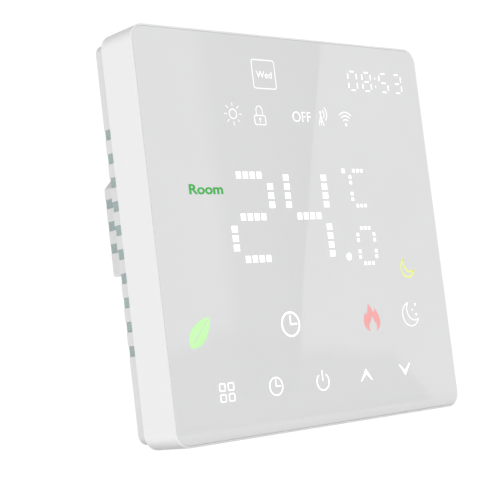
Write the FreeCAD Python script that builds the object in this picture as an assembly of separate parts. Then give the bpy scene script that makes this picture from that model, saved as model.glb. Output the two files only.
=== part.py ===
"""Touch-screen wall thermostat for a 60 mm wall box, as an assembly of separate pieces.

Frame: +Z up, X to the right, the front face towards -Y. The origin is the centre of the two
wall screws, in the plane of the wall (y = 0). Everything in front of the wall has negative y,
and the rear box that sinks into the wall box has positive y. Sizes are in millimetres.
"""
import FreeCAD, Part
import math
import os

os.makedirs("parts", exist_ok=True)

# ---- Overall sizes -----------------------------------------------------------------------------
FACE_WIDTH = 86.0
FACE_HEIGHT = 86.0
CORNER_RADIUS = 3.4
STAND_OFF = 14.0            # front face to the wall

# ---- Wall base: vented rim, floor and rear box -------------------------------------------------
RIM_DEPTH = 3.45
RIM_INSET = 1.25            # the rim stands this far inside the front shell's outline
RIM_WALL = 1.8
RIM_INNER_CORNER = 0.5
FLOOR_THICKNESS = 1.45
MODULE_GAP = 0.15           # between the front shell and the rim
NOTCH_COUNT = 10
NOTCH_PITCH = 5.0
NOTCH_HEIGHT = 2.1
NOTCH_REACH = 4.5           # how far a vent notch cuts in from the rim's outer face
NOTCH_BRIDGE = 0.4          # rim left in front of a notch

BOX_HALF_WIDTH = 26.0
BOX_TOP = 25.4
BOX_STEP = -4.6             # underside of the deep part
BOX_DEPTH = 23.8
BOX_CHAMFER = 10.0
BOX_ROUND = 0.5             # outer edges of the rear box
RIM_ROUND = 0.2             # outer rear edge of the rim
BOX_WALL = 1.5
SHELF_HALF_WIDTH = 24.0
SHELF_BOTTOM = -27.0
SHELF_DEPTH = 14.0
SHELF_CHAMFER = 8.0
BOX_SLOT_COUNT = 3
BOX_SLOT_PITCH = 5.1
BOX_SLOT_HEIGHT = 2.1
BOX_SLOT_TOP = 11.9         # centre of the highest slot
BOX_SLOT_LENGTH = 9.0       # along the side wall, from the rear edge
BOX_SLOT_WRAP = 6.0         # along the rear wall, from the side

# ---- Steel mounting plate and its fixings ------------------------------------------------------
PLATE_THICKNESS = 1.0
PLATE_MARGIN = 0.35         # plate edge to the inside of the rim
PLATE_CORNER = 2.0
WALL_SCREW_PITCH = 60.0
WALL_HOLE_RADIUS = 2.1
HEAD_HOLE_RADIUS = 3.7      # in the floor, so that a wall screw's head reaches the plate
PLATE_SCREW_AT = 33.0
PLATE_SCREW_RADIUS = 1.0
PLATE_SCREW_HEAD = 2.1
PLATE_SCREW_LENGTH = 2.9
PLATE_BOSS_RADIUS = 3.0

# ---- Leaf springs that grip the front shell ----------------------------------------------------
CLIP_AT = 20.0
CLIP_WIDTH = 8.0
CLIP_STEEL = 0.4
CLIP_FOOT = 3.6
CLIP_REACH = 6.1            # forward from the plate
CLIP_CLEARANCE = 0.1        # between the crest and the shell

# ---- Front module ------------------------------------------------------------------------------
PANEL_THICKNESS = 1.5
PANEL_EDGE = 0.2            # rounding of the panel's front edge
PANEL_CLEARANCE = 0.1       # panel to the shell's lip
LIP_WIDTH = 0.4             # thin lip of the shell round the panel
LIP_SINK = 0.1              # lip behind the panel's face
LIP_EDGE = 0.18             # rounding of the lip's outer front edge
SHELL_WALL = 1.8
SHELL_REAR_EDGE = 0.3
LEDGE_WIDTH = 1.8
LEDGE_THICKNESS = 1.0
DIFFUSER_THICKNESS = 0.4
GUIDE_DEPTH = 3.1
GUIDE_CLEARANCE = 0.2
BOARD_THICKNESS = 1.2
BOARD_CLEARANCE = 1.2       # display board to the inside of the shell
COVER_THICKNESS = 1.0
COVER_CLEARANCE = 0.4
COVER_RECESS = 0.3          # inner cover in front of the shell's rear edge
PAD_SIZE = 6.8              # pads on the shell's sides that the display board rests on
MODULE_SCREW_INSET = 4.2    # from the inside of the shell
MODULE_SCREW_Z = 12.5
SMALL_SHANK = 0.9
SMALL_HEAD = 1.8
SMALL_HEAD_HEIGHT = 1.0
SCREW_CLEARANCE = 0.05
HEAD_CLEARANCE = 0.2
COVER_POST_RADIUS = 2.6
COVER_VENT_COUNT = 6        # in the inner cover, behind the room sensor
COVER_VENT_PITCH = 2.6
COVER_VENT_WIDTH = 1.2
COVER_VENT_HEIGHT = 9.0
SENSOR_X = -30.0
SENSOR_Z = -33.0
SCREW_SLOT_WIDTH = 0.5
SCREW_SLOT_DEPTH = 0.5
SCREW_TIP_GAP = 1.0         # tip of a screw to the end of its hole
RADIO_X = -18.0
RADIO_Z = -12.0
RADIO_WIDTH = 20.0
RADIO_HEIGHT = 14.0
RADIO_BOARD = 0.8           # thickness of the radio's own board
SHIELD_OFFSET = 2.5         # shield's centre to the right of its board's

# Light windows of the display: centre x, centre z, width, height
WINDOWS = {
    "day": (-7.6, 34.2, 8.4, 7.8),
    "time": (27.9, 34.2, 19.8, 6.2),
    "sun": (-18.0, 25.0, 6.6, 6.6),
    "lock": (-10.2, 25.0, 5.4, 6.0),
    "off": (2.4, 25.0, 7.2, 4.6),
    "radio": (9.4, 25.0, 4.8, 4.8),
    "signal": (16.2, 25.0, 5.8, 4.8),
    "tens": (-15.5, 2.9, 14.8, 20.6),
    "ones": (0.8, 2.9, 14.8, 20.6),
    "point": (11.8, -6.5, 3.2, 3.2),
    "unit": (16.7, 9.2, 8.4, 10.2),
    "tenths": (18.2, -4.2, 7.8, 10.4),
    "room": (-27.8, 8.8, 7.4, 4.2),
    "leaf": (-34.0, -20.4, 6.8, 7.2),
    "timer": (-8.6, -20.4, 7.4, 7.4),
    "flame": (16.6, -20.4, 7.2, 8.0),
    "night": (29.6, -20.5, 7.2, 7.2),
    "moon": (30.6, -9.6, 6.2, 5.8),
}
KEYS_X = (-28.6, -14.9, -1.1, 12.4, 25.5)
KEYS_Z = -33.2
KEY_HOLE_RADIUS = 4.0
KEY_COIL_RADIUS = 2.9
KEY_WIRE_RADIUS = 0.25
KEY_COIL_TURNS = 4
LED_SPACING = 6.0
LED_WIDTH = 1.6
LED_HEIGHT = 1.2
LED_DEPTH = 0.6

# ---- Connector between the two halves ----------------------------------------------------------
PIN_COLUMNS = 4
PIN_ROWS = 2
PIN_PITCH = 2.54
PIN_SIZE = 0.64
PIN_CLEARANCE = 0.1
HEADER_X = 0.0
HEADER_Z = 17.0
SOCKET_PROUD = 0.5          # socket behind the front of the inner cover
SOCKET_SKIN = 0.3           # socket left in front of the pin holes
HEADER_EDGE = 0.6           # socket round the pins' area
HEADER_DEPTH = 2.0
PIN_TAIL = 1.5
WINDOW_CLEARANCE = 0.3

# ---- Power box contents ------------------------------------------------------------------------
TRANSFORMER_X = 12.0
TRANSFORMER_Z = 8.6
CORE_WIDTH = 15.0
CORE_DEPTH = 13.0
CORE_HEIGHT = 6.0
CORE_LEG = 3.0
CORE_STAND = 1.5            # thickness of the moulded foot
FOOT_MARGIN = 2.0           # foot above and below the core
WINDING_THICKNESS = 2.6
WINDING_FIT = 0.1
WINDING_ROUND = 1.0
POWER_BOARD_THICKNESS = 1.6
POWER_BOARD_CLEARANCE = 0.4
LID_THICKNESS = 1.2
LID_CLEARANCE = 0.3
LID_SINK = 0.05             # lid behind the floor's front face
LID_HEAD_SEAT = 1.0
POST_RADIUS = 2.6
SPACER_RADIUS = 2.2
POST_WALL_GAP = 0.25        # spacer to the inside of the chamfered wall
LID_HOLE_DEPTH = 8.0         # below the seat of a lid screw's head

# ---- Terminals ---------------------------------------------------------------------------------
TERMINAL_COUNT = 6
TERMINAL_PITCH = 6.35
TERMINAL_EDGE = 1.0
TERMINAL_BOTTOM = -25.0
TERMINAL_TOP = -10.4
TERMINAL_DEPTH = 9.6
SCREW_Z = -17.6
CHAMBER_WIDTH = 4.9
CHAMBER_BOTTOM = -21.6
CHAMBER_TOP = -14.2
CAGE_TRAVEL = 1.5
CAGE_WIDTH = 4.6
CAGE_HEIGHT = 6.4
CAGE_LENGTH = 4.4
CAGE_SIDE = 0.6
CAGE_NUT = 0.9              # thickness of the threaded side
CAGE_START = 0.9            # cage to the shelf when fully open
SCREW_SHANK = 1.2
SCREW_HEAD = 2.0
SCREW_HEAD_HEIGHT = 1.45
HEAD_SEAT_THICKNESS = 0.9
CHAMBER_CLEARANCE = 0.1
BAR_WIDTH = 3.0
BAR_THICKNESS = 0.8
BAR_END_GAP = 0.2
BAR_SLOT_CLEARANCE = 0.2
ENTRY_SIZE = 3.6
GROOVE_SIZE = 0.6           # between neighbouring terminals
BLOCK_CHAMFER = 0.5
HEAD_SEAT_GAP = 0.05        # under a terminal screw's head

# ---- Relay -------------------------------------------------------------------------------------
RELAY_WALL_GAP = 3.5        # relay to the inside of the box's side wall
RELAY_Z = 5.0
RELAY_WIDTH = 19.0
RELAY_HEIGHT = 12.6
RELAY_DEPTH = 15.0
RELAY_BASE = 1.5
RELAY_WALL = 0.8
COIL_OFFSET = -1.2
COIL_RADIUS = 4.2
COIL_LENGTH = 7.0
FLANGE_RADIUS = 4.8
FLANGE_THICKNESS = 0.8
CORE_RADIUS = 1.2
SLEEVE_RADIUS = 1.8
POLE_RADIUS = 2.6
POLE_THICKNESS = 0.55
YOKE_THICKNESS = 1.0
YOKE_ARM = 0.8
YOKE_HALF_HEIGHT = 4.5
YOKE_OFFSET = 5.2           # coil axis to the yoke's near face
PIVOT_GAP = 0.1             # flap to the yoke's edge, beside the pivot
PIVOT_RADIUS = 0.3          # round bead under the flap, in a groove of the yoke's edge
POLE_GAP = 0.55
ARMATURE_THICKNESS = 0.9
ARMATURE_REACH = 4.6
ARMATURE_LIP = 0.2
CONTACT_REACH = 7.4         # coil axis to the contacts
CONTACT_RADIUS = 1.2
CONTACT_HEIGHT = 0.6
CONTACT_GAP = 0.85
LEAF_THICKNESS = 0.2
LEAF_HALF_HEIGHT = 1.5
POST_THICKNESS = 1.0
RELAY_CORNER = 0.5
RELAY_FIT = 0.05


# ---- Planes worked out from the sizes above ----------------------------------------------------
HALF_W = FACE_WIDTH / 2
HALF_H = FACE_HEIGHT / 2
Y_FRONT = -STAND_OFF
Y_LIP = Y_FRONT + LIP_SINK                      # front of the shell's lip
Y_PANEL = Y_FRONT + PANEL_THICKNESS             # rear of the panel
Y_SHELL = -RIM_DEPTH - MODULE_GAP               # rear edge of the shell
Y_RIM = -RIM_DEPTH                              # front of the rim and floor
Y_FLOOR = Y_RIM + FLOOR_THICKNESS               # rear of the floor
Y_LEDGE = Y_PANEL + LEDGE_THICKNESS
Y_GUIDE = Y_PANEL + DIFFUSER_THICKNESS          # front of the light guide
Y_BOARD = Y_GUIDE + GUIDE_DEPTH                 # front of the display board
Y_BOARD_REAR = Y_BOARD + BOARD_THICKNESS
Y_COVER = Y_SHELL - COVER_RECESS                # rear of the inner cover
Y_COVER_FRONT = Y_COVER - COVER_THICKNESS
Y_SOCKET = Y_COVER_FRONT + SOCKET_PROUD         # rear of the connector socket
INNER_W = HALF_W - SHELL_WALL
INNER_H = HALF_H - SHELL_WALL
INNER_R = CORNER_RADIUS - SHELL_WALL
RIM_W = HALF_W - RIM_INSET
RIM_H = HALF_H - RIM_INSET
PLATE_W = RIM_W - RIM_WALL - PLATE_MARGIN
PLATE_H = RIM_H - RIM_WALL - PLATE_MARGIN
Y_POWER = -POWER_BOARD_THICKNESS                # front of the power board, its rear is y = 0
Y_LID = Y_RIM + LID_SINK
Y_LID_REAR = Y_LID + LID_THICKNESS
Y_SEAT = Y_LID + LID_HEAD_SEAT                  # under the lid screws' heads
CORNER_SIGNS = ((-1, -1), (1, -1), (-1, 1), (1, 1))
SAME = 1e-6                 # two positions closer than this are one


def box(x0, x1, y0, y1, z0, z1):
    """Box between two corners."""
    return Part.makeBox(x1 - x0, y1 - y0, z1 - z0, FreeCAD.Vector(x0, y0, z0))


def block(x, z, width, height, y0, y1):
    """Box centred on x, z, from y0 to y1."""
    return box(x - width / 2, x + width / 2, y0, y1, z - height / 2, z + height / 2)


def rod(radius, x, z, y0, y1):
    """Round bar along Y."""
    return Part.makeCylinder(radius, y1 - y0, FreeCAD.Vector(x, y0, z), FreeCAD.Vector(0, 1, 0))


def cone(radius0, radius1, x, z, y0, y1):
    """Cone along Y, radius0 at y0 and radius1 at y1."""
    return Part.makeCone(radius0, radius1, y1 - y0, FreeCAD.Vector(x, y0, z), FreeCAD.Vector(0, 1, 0))


def prism(points, y0, y1):
    """Polygon of x, z points, extruded from y0 to y1."""
    corners = [FreeCAD.Vector(x, y0, z) for x, z in points]
    wire = Part.makePolygon(corners + corners[:1])
    return Part.Face(wire).extrude(FreeCAD.Vector(0, y1 - y0, 0))


def rounded(half_width, half_height, radius, y0, y1):
    """Upright plate with round corners, centred on the Y axis."""
    plate = box(-half_width, half_width, y0, y1, -half_height, half_height)
    corners = [edge for edge in plate.Edges if edge.BoundBox.YLength > (y1 - y0) / 2]
    return plate.makeFillet(radius, corners)


def rim_edges(shape, y):
    """Edges that lie in the plane at y."""
    return [edge for edge in shape.Edges
            if abs(edge.BoundBox.YMin - y) < SAME and abs(edge.BoundBox.YMax - y) < SAME]


def fuse(pieces):
    """One solid of pieces that touch."""
    return pieces[0].multiFuse(pieces[1:]).removeSplitter()


def save(name, shape):
    """Write one node; a list is a group of separate solids."""
    if isinstance(shape, list):
        shape = Part.makeCompound(shape)
    shape.exportStep("parts/" + name + ".step")


def screw(x, z, y_head, y_tip, shank=SMALL_SHANK, head=SMALL_HEAD, head_height=SMALL_HEAD_HEIGHT):
    """Slotted screw along Y, with its head's outer face at y_head and its tip at y_tip."""
    way = 1 if y_tip > y_head else -1
    y_neck = y_head + way * head_height
    y_slot = y_head + way * SCREW_SLOT_DEPTH
    head_part = rod(head, x, z, min(y_head, y_neck), max(y_head, y_neck))
    shank_part = rod(shank, x, z, min(y_neck, y_tip), max(y_neck, y_tip))
    slot = block(x, z, 3 * head, SCREW_SLOT_WIDTH, min(y_head, y_slot), max(y_head, y_slot))
    return fuse([head_part, shank_part]).cut(slot)


def chamfer_outline(half_width, bottom, top, upper, lower):
    """Points of a box outline, with 45 degree corners of the sizes upper and lower."""
    points = [(half_width, top - upper), (half_width - upper, top)]
    points += [(upper - half_width, top), (-half_width, top - upper)]
    if lower > 0:
        points += [(-half_width, bottom + lower), (lower - half_width, bottom)]
        points += [(half_width - lower, bottom), (half_width, bottom + lower)]
    else:
        points += [(-half_width, bottom), (half_width, bottom)]
    return points


def soften(volume, y0, radius):
    """Round the edges of a prism, except those of its end at y0."""
    return volume.makeFillet(radius, [edge for edge in volume.Edges if edge.BoundBox.YMax > y0 + SAME])


def rear_box(inset, y0, deep_end, shelf_end, radius=0):
    """Rear box's volume, all its walls moved in by inset."""
    turn = inset * (2 - math.sqrt(2))           # what a 45 degree corner loses
    deep = chamfer_outline(BOX_HALF_WIDTH - inset, BOX_STEP + inset, BOX_TOP - inset,
                           BOX_CHAMFER - turn, 0)
    shelf_top = BOX_STEP + 3 * BOX_WALL         # the shelf's volume runs on into the deep part
    shelf = chamfer_outline(SHELF_HALF_WIDTH - inset, SHELF_BOTTOM + inset, shelf_top,
                            0, SHELF_CHAMFER - turn)
    shelf = [point for index, point in enumerate(shelf) if point not in shelf[:index]]
    volumes = [prism(deep, y0, deep_end), prism(shelf, y0, shelf_end)]
    if radius > 0:
        volumes = [soften(volume, y0, radius) for volume in volumes]
    return fuse(volumes)


def row_places(count, pitch):
    """Centres of a centred row."""
    return [(index - (count - 1) / 2) * pitch for index in range(count)]


def terminal_places():
    return row_places(TERMINAL_COUNT, TERMINAL_PITCH)


def post_places():
    """Screw posts of the power box, x and z, each square to the middle of a chamfered corner."""
    inward = (BOX_WALL + SPACER_RADIUS + POST_WALL_GAP) / math.sqrt(2)
    upper_x = BOX_HALF_WIDTH - BOX_CHAMFER / 2 - inward
    upper_z = BOX_TOP - BOX_CHAMFER / 2 - inward
    lower_x = SHELF_HALF_WIDTH - SHELF_CHAMFER / 2 - inward
    lower_z = SHELF_BOTTOM + SHELF_CHAMFER / 2 + inward
    return [(-upper_x, upper_z), (upper_x, upper_z), (-lower_x, lower_z), (lower_x, lower_z)]


def pin_places():
    columns = row_places(PIN_COLUMNS, PIN_PITCH)
    rows = row_places(PIN_ROWS, PIN_PITCH)
    return [(HEADER_X + x, HEADER_Z + z) for x in columns for z in rows]


def module_screw_places():
    return [(sx * (INNER_W - MODULE_SCREW_INSET), sz * MODULE_SCREW_Z) for sx, sz in CORNER_SIGNS]


def side_pads(margin, y0, y1):
    """Blocks at the module's screws, each running out to the shell's side."""
    pads = []
    for sx, sz in CORNER_SIGNS:
        x = sorted((sx * (INNER_W - PAD_SIZE - margin), sx * INNER_W))
        z = sz * MODULE_SCREW_Z
        pads.append(box(x[0], x[1], y0, y1, z - PAD_SIZE / 2 - margin, z + PAD_SIZE / 2 + margin))
    return pads


def header_block(margin, y0, y1):
    """Body of the pin connector, with a margin all round."""
    width = PIN_COLUMNS * PIN_PITCH + 2 * margin
    height = PIN_ROWS * PIN_PITCH + 2 * margin
    return block(HEADER_X, HEADER_Z, width, height, y0, y1)


# ---- Front module ------------------------------------------------------------------------------
def front_panel():
    """Glossy panel, flush in the shell's lip."""
    inset = LIP_WIDTH + PANEL_CLEARANCE
    panel = rounded(HALF_W - inset, HALF_H - inset, CORNER_RADIUS - inset, Y_FRONT, Y_PANEL)
    return panel.makeFillet(PANEL_EDGE, rim_edges(panel, Y_FRONT))


def front_shell():
    shell = rounded(HALF_W, HALF_H, CORNER_RADIUS, Y_LIP, Y_SHELL)
    shell = shell.makeFillet(LIP_EDGE, rim_edges(shell, Y_LIP))
    shell = shell.makeFillet(SHELL_REAR_EDGE, rim_edges(shell, Y_SHELL))
    seat = rounded(HALF_W - LIP_WIDTH, HALF_H - LIP_WIDTH, CORNER_RADIUS - LIP_WIDTH, Y_LIP, Y_PANEL)
    cavity = rounded(INNER_W, INNER_H, INNER_R, Y_LEDGE, Y_SHELL)
    opening = box(LEDGE_WIDTH - INNER_W, INNER_W - LEDGE_WIDTH, Y_PANEL, Y_LEDGE,
                  LEDGE_WIDTH - INNER_H, INNER_H - LEDGE_WIDTH)
    shell = shell.cut(Part.makeCompound([seat, cavity, opening]))
    shell = fuse([shell] + side_pads(0, Y_LEDGE, Y_BOARD))
    holes = [rod(SMALL_SHANK + SCREW_CLEARANCE, x, z, Y_LEDGE, Y_BOARD)
             for x, z in module_screw_places()]
    return shell.cut(Part.makeCompound(holes)).removeSplitter()


def guide_size():
    """Half width and half height of what lies in the ledge's opening."""
    return INNER_W - LEDGE_WIDTH - GUIDE_CLEARANCE, INNER_H - LEDGE_WIDTH - GUIDE_CLEARANCE


def diffuser_sheet():
    half_w, half_h = guide_size()
    return box(-half_w, half_w, Y_PANEL, Y_GUIDE, -half_h, half_h)


def light_guide():
    """White frame with one light-tight cell per symbol and a round hole per touch key."""
    half_w, half_h = guide_size()
    guide = box(-half_w, half_w, Y_GUIDE, Y_BOARD, -half_h, half_h)
    cuts = [block(x, z, width, height, Y_GUIDE, Y_BOARD) for x, z, width, height in WINDOWS.values()]
    cuts += [rod(KEY_HOLE_RADIUS, x, KEYS_Z, Y_GUIDE, Y_BOARD) for x in KEYS_X]
    cuts += side_pads(GUIDE_CLEARANCE, Y_GUIDE, Y_BOARD)
    return guide.cut(Part.makeCompound(cuts))


def display_board():
    half_w = INNER_W - BOARD_CLEARANCE
    half_h = INNER_H - BOARD_CLEARANCE
    board = box(-half_w, half_w, Y_BOARD, Y_BOARD_REAR, -half_h, half_h)
    holes = [rod(SMALL_SHANK + SCREW_CLEARANCE, x, z, Y_BOARD, Y_BOARD_REAR)
             for x, z in module_screw_places()]
    return board.cut(Part.makeCompound(holes))


def display_leds():
    """Small lamps in the cells of the light guide."""
    lamps = []
    for x, z, width, height in WINDOWS.values():
        columns = max(1, round(width / LED_SPACING))
        rows = max(1, round(height / LED_SPACING))
        for dx in row_places(columns, width / columns):
            for dz in row_places(rows, height / rows):
                lamps.append(block(x + dx, z + dz, LED_WIDTH, LED_HEIGHT, Y_BOARD - LED_DEPTH, Y_BOARD))
    return lamps


def touch_springs():
    """Coils that carry the touch pads' charge from the board to the panel."""
    length = GUIDE_DEPTH - 2 * KEY_WIRE_RADIUS
    pitch = length / KEY_COIL_TURNS
    springs = []
    for x in KEYS_X:
        helix = Part.makeHelix(pitch, length, KEY_COIL_RADIUS)
        start = FreeCAD.Vector(KEY_COIL_RADIUS, 0, 0)
        along = FreeCAD.Vector(0, 2 * math.pi * KEY_COIL_RADIUS, pitch)
        section = Part.Wire(Part.makeCircle(KEY_WIRE_RADIUS, start, along))
        spring = Part.Wire(helix.Edges).makePipeShell([section], True, True)
        spring.rotate(FreeCAD.Vector(0, 0, 0), FreeCAD.Vector(1, 0, 0), 90)
        spring.translate(FreeCAD.Vector(x, Y_BOARD - KEY_WIRE_RADIUS, KEYS_Z))
        springs.append(spring)
    return springs


def controller_chip():
    """Square chip with gull-wing leads on its four sides."""
    size = 9.0
    thickness = 1.4
    lead_count = 8
    lead_pitch = 0.95
    lead_width = 0.4
    lead_reach = 1.0
    lead_thickness = 0.35
    edge = 0.3
    x, z = 15.0, -8.0
    body = block(x, z, size, size, Y_BOARD_REAR, Y_BOARD_REAR + thickness)
    body = body.makeChamfer(edge, rim_edges(body, Y_BOARD_REAR + thickness))
    span = size + 2 * lead_reach
    leads = []
    for offset in row_places(lead_count, lead_pitch):
        y_end = Y_BOARD_REAR + lead_thickness
        leads.append(block(x + offset, z, lead_width, span, Y_BOARD_REAR, y_end))
        leads.append(block(x, z + offset, span, lead_width, Y_BOARD_REAR, y_end))
    return fuse([body] + leads)


def radio_board():
    return block(RADIO_X, RADIO_Z, RADIO_WIDTH, RADIO_HEIGHT, Y_BOARD_REAR, Y_BOARD_REAR + RADIO_BOARD)


def radio_shield():
    """Thin steel can over the radio's chip, open towards its board."""
    wall = 0.3
    width, height, depth = 13.0, 11.0, 1.7
    x = RADIO_X + SHIELD_OFFSET
    y0 = Y_BOARD_REAR + RADIO_BOARD
    can = block(x, RADIO_Z, width, height, y0, y0 + depth)
    hollow = block(x, RADIO_Z, width - 2 * wall, height - 2 * wall, y0, y0 + depth - wall)
    return can.cut(hollow)


def buzzer():
    """Square sounder with a round sound hole in its rear."""
    x, z = 20.0, -24.0
    size, thickness = 9.0, 2.2
    hole_radius, hole_depth = 0.8, 1.2
    y_rear = Y_BOARD_REAR + thickness
    body = block(x, z, size, size, Y_BOARD_REAR, y_rear)
    return body.cut(rod(hole_radius, x, z, y_rear - hole_depth, y_rear))


def room_sensor():
    """Glass bead thermistor on two legs, near the lower edge where room air enters."""
    bead_radius, bead_stand = 1.1, 1.5
    leg_radius, leg_offset = 0.2, 0.6
    bead_y = Y_BOARD_REAR + bead_stand
    legs = [rod(leg_radius, SENSOR_X + side * leg_offset, SENSOR_Z, Y_BOARD_REAR, bead_y) for side in (-1, 1)]
    bead = Part.makeSphere(bead_radius, FreeCAD.Vector(SENSOR_X, bead_y, SENSOR_Z))
    return fuse([bead] + legs)


def display_socket():
    socket = header_block(HEADER_EDGE, Y_BOARD_REAR, Y_SOCKET)
    hole = PIN_SIZE + 2 * PIN_CLEARANCE
    holes = [block(x, z, hole, hole, Y_BOARD_REAR + SOCKET_SKIN, Y_SOCKET) for x, z in pin_places()]
    return socket.cut(Part.makeCompound(holes))


def inner_cover():
    """Rear cover of the front module, with posts that press on the display board."""
    half_w = INNER_W - COVER_CLEARANCE
    half_h = INNER_H - COVER_CLEARANCE
    cover = rounded(half_w, half_h, INNER_R, Y_COVER_FRONT, Y_COVER)
    posts = [rod(COVER_POST_RADIUS, x, z, Y_BOARD_REAR, Y_COVER_FRONT) for x, z in module_screw_places()]
    cover = fuse([cover] + posts)
    y_seat = Y_COVER - SMALL_HEAD_HEIGHT
    cuts = [rod(SMALL_SHANK + SCREW_CLEARANCE, x, z, Y_BOARD_REAR, y_seat) for x, z in module_screw_places()]
    cuts += [rod(SMALL_HEAD + HEAD_CLEARANCE, x, z, y_seat, Y_COVER) for x, z in module_screw_places()]
    cuts.append(header_block(HEADER_EDGE + WINDOW_CLEARANCE, Y_COVER_FRONT, Y_COVER))
    cuts += [block(SENSOR_X + dx, SENSOR_Z, COVER_VENT_WIDTH, COVER_VENT_HEIGHT, Y_COVER_FRONT, Y_COVER)
             for dx in row_places(COVER_VENT_COUNT, COVER_VENT_PITCH)]
    for sx, sz in CORNER_SIGNS:
        # Room for the leaf springs of the wall base.
        z = sorted((sz * (PLATE_H - 2 * CLIP_STEEL - COVER_CLEARANCE), sz * INNER_H))
        width = CLIP_WIDTH / 2 + COVER_CLEARANCE
        cuts.append(box(sx * CLIP_AT - width, sx * CLIP_AT + width, Y_COVER_FRONT, Y_COVER, z[0], z[1]))
    return cover.cut(Part.makeCompound(cuts))


def inner_cover_screws():
    return [screw(x, z, Y_COVER, Y_LEDGE + SCREW_TIP_GAP) for x, z in module_screw_places()]


# ---- Wall base ---------------------------------------------------------------------------------
def vent_notches():
    """Notches in the four sides of the rim, open towards the wall."""
    y0 = Y_RIM + NOTCH_BRIDGE
    cuts = []
    for place in row_places(NOTCH_COUNT, NOTCH_PITCH):
        for side in (-1, 1):
            cuts.append(block(side * (RIM_W - NOTCH_REACH / 2), place, NOTCH_REACH, NOTCH_HEIGHT, y0, 0))
            cuts.append(block(place, side * (RIM_H - NOTCH_REACH / 2), NOTCH_HEIGHT, NOTCH_REACH, y0, 0))
    return cuts


def box_slots():
    """Vent slots that wrap round the rear box's long edges."""
    cuts = []
    for index in range(BOX_SLOT_COUNT):
        z = BOX_SLOT_TOP - index * BOX_SLOT_PITCH
        for side in (-1, 1):
            x_wall = side * (BOX_HALF_WIDTH - BOX_WALL / 2)
            x_rear = side * (BOX_HALF_WIDTH - BOX_SLOT_WRAP / 2)
            cuts.append(block(x_wall, z, BOX_WALL, BOX_SLOT_HEIGHT, BOX_DEPTH - BOX_SLOT_LENGTH, BOX_DEPTH))
            cuts.append(block(x_rear, z, BOX_SLOT_WRAP, BOX_SLOT_HEIGHT, BOX_DEPTH - BOX_WALL, BOX_DEPTH))
    return cuts


def bar_slots(clearance, y0, y1):
    """Where the terminals' bars pass through a wall."""
    width = BAR_WIDTH + 2 * clearance
    height = BAR_THICKNESS + 2 * clearance
    return [block(x, bar_leg_z(), width, height, y0, y1) for x in terminal_places()]


def base_frame():
    rim = rounded(RIM_W, RIM_H, CORNER_RADIUS - RIM_INSET, Y_RIM, 0)
    rim = rim.makeFillet(RIM_ROUND, rim_edges(rim, 0))
    hollow = rounded(RIM_W - RIM_WALL, RIM_H - RIM_WALL, RIM_INNER_CORNER, Y_FLOOR, 0)
    body = rim.cut(hollow)
    bosses = [rod(PLATE_BOSS_RADIUS, sx * PLATE_SCREW_AT, sz * PLATE_SCREW_AT, Y_FLOOR, -PLATE_THICKNESS)
              for sx, sz in CORNER_SIGNS]
    body = fuse([body, rear_box(0, Y_RIM, BOX_DEPTH, SHELF_DEPTH, BOX_ROUND)] + bosses)
    body = body.cut(rear_box(BOX_WALL, Y_RIM, BOX_DEPTH - BOX_WALL, SHELF_DEPTH - BOX_WALL))
    posts = []
    for x, z in post_places():
        y_end = BOX_DEPTH - BOX_WALL if z > 0 else SHELF_DEPTH - BOX_WALL
        posts.append(rod(POST_RADIUS, x, z, 0, y_end))
    body = fuse([body] + posts)
    cuts = vent_notches() + box_slots()
    cuts += bar_slots(BAR_SLOT_CLEARANCE, SHELF_DEPTH - BOX_WALL, SHELF_DEPTH)
    cuts += [rod(HEAD_HOLE_RADIUS, side * WALL_SCREW_PITCH / 2, 0, Y_RIM, Y_FLOOR) for side in (-1, 1)]
    for x, z in post_places():
        cuts.append(rod(SMALL_SHANK + SCREW_CLEARANCE, x, z, 0, Y_SEAT + LID_HOLE_DEPTH))
    for sx, sz in CORNER_SIGNS:
        cuts.append(rod(PLATE_SCREW_RADIUS + SCREW_CLEARANCE, sx * PLATE_SCREW_AT, sz * PLATE_SCREW_AT,
                        -PLATE_SCREW_LENGTH - SCREW_CLEARANCE, -PLATE_THICKNESS))
        z = sorted((sz * (PLATE_H - CLIP_STEEL - PLATE_MARGIN), sz * (PLATE_H + PLATE_MARGIN)))
        width = CLIP_WIDTH / 2 + PLATE_MARGIN
        cuts.append(box(sx * CLIP_AT - width, sx * CLIP_AT + width, Y_RIM, Y_FLOOR, z[0], z[1]))
    return body.cut(Part.makeCompound(cuts)).removeSplitter()


def mounting_plate():
    plate = rounded(PLATE_W, PLATE_H, PLATE_CORNER, -PLATE_THICKNESS, 0)
    cuts = [rear_box(-LID_CLEARANCE, -PLATE_THICKNESS, 0, 0)]
    cuts += [rod(WALL_HOLE_RADIUS, side * WALL_SCREW_PITCH / 2, 0, -PLATE_THICKNESS, 0) for side in (-1, 1)]
    for sx, sz in CORNER_SIGNS:
        cuts.append(cone(PLATE_SCREW_RADIUS + SCREW_CLEARANCE, PLATE_SCREW_HEAD + SCREW_CLEARANCE,
                         sx * PLATE_SCREW_AT, sz * PLATE_SCREW_AT, -PLATE_THICKNESS, 0))
    return plate.cut(Part.makeCompound(cuts))


def plate_screws():
    """Countersunk screws that hold the steel plate to the base, flush with its rear."""
    screws = []
    for sx, sz in CORNER_SIGNS:
        x, z = sx * PLATE_SCREW_AT, sz * PLATE_SCREW_AT
        head = cone(PLATE_SCREW_RADIUS, PLATE_SCREW_HEAD, x, z, -PLATE_THICKNESS, 0)
        shank = rod(PLATE_SCREW_RADIUS, x, z, -PLATE_SCREW_LENGTH, -PLATE_THICKNESS)
        slot = block(x, z, 3 * PLATE_SCREW_HEAD, SCREW_SLOT_WIDTH, -SCREW_SLOT_DEPTH, 0)
        screws.append(fuse([head, shank]).cut(slot))
    return screws


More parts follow.
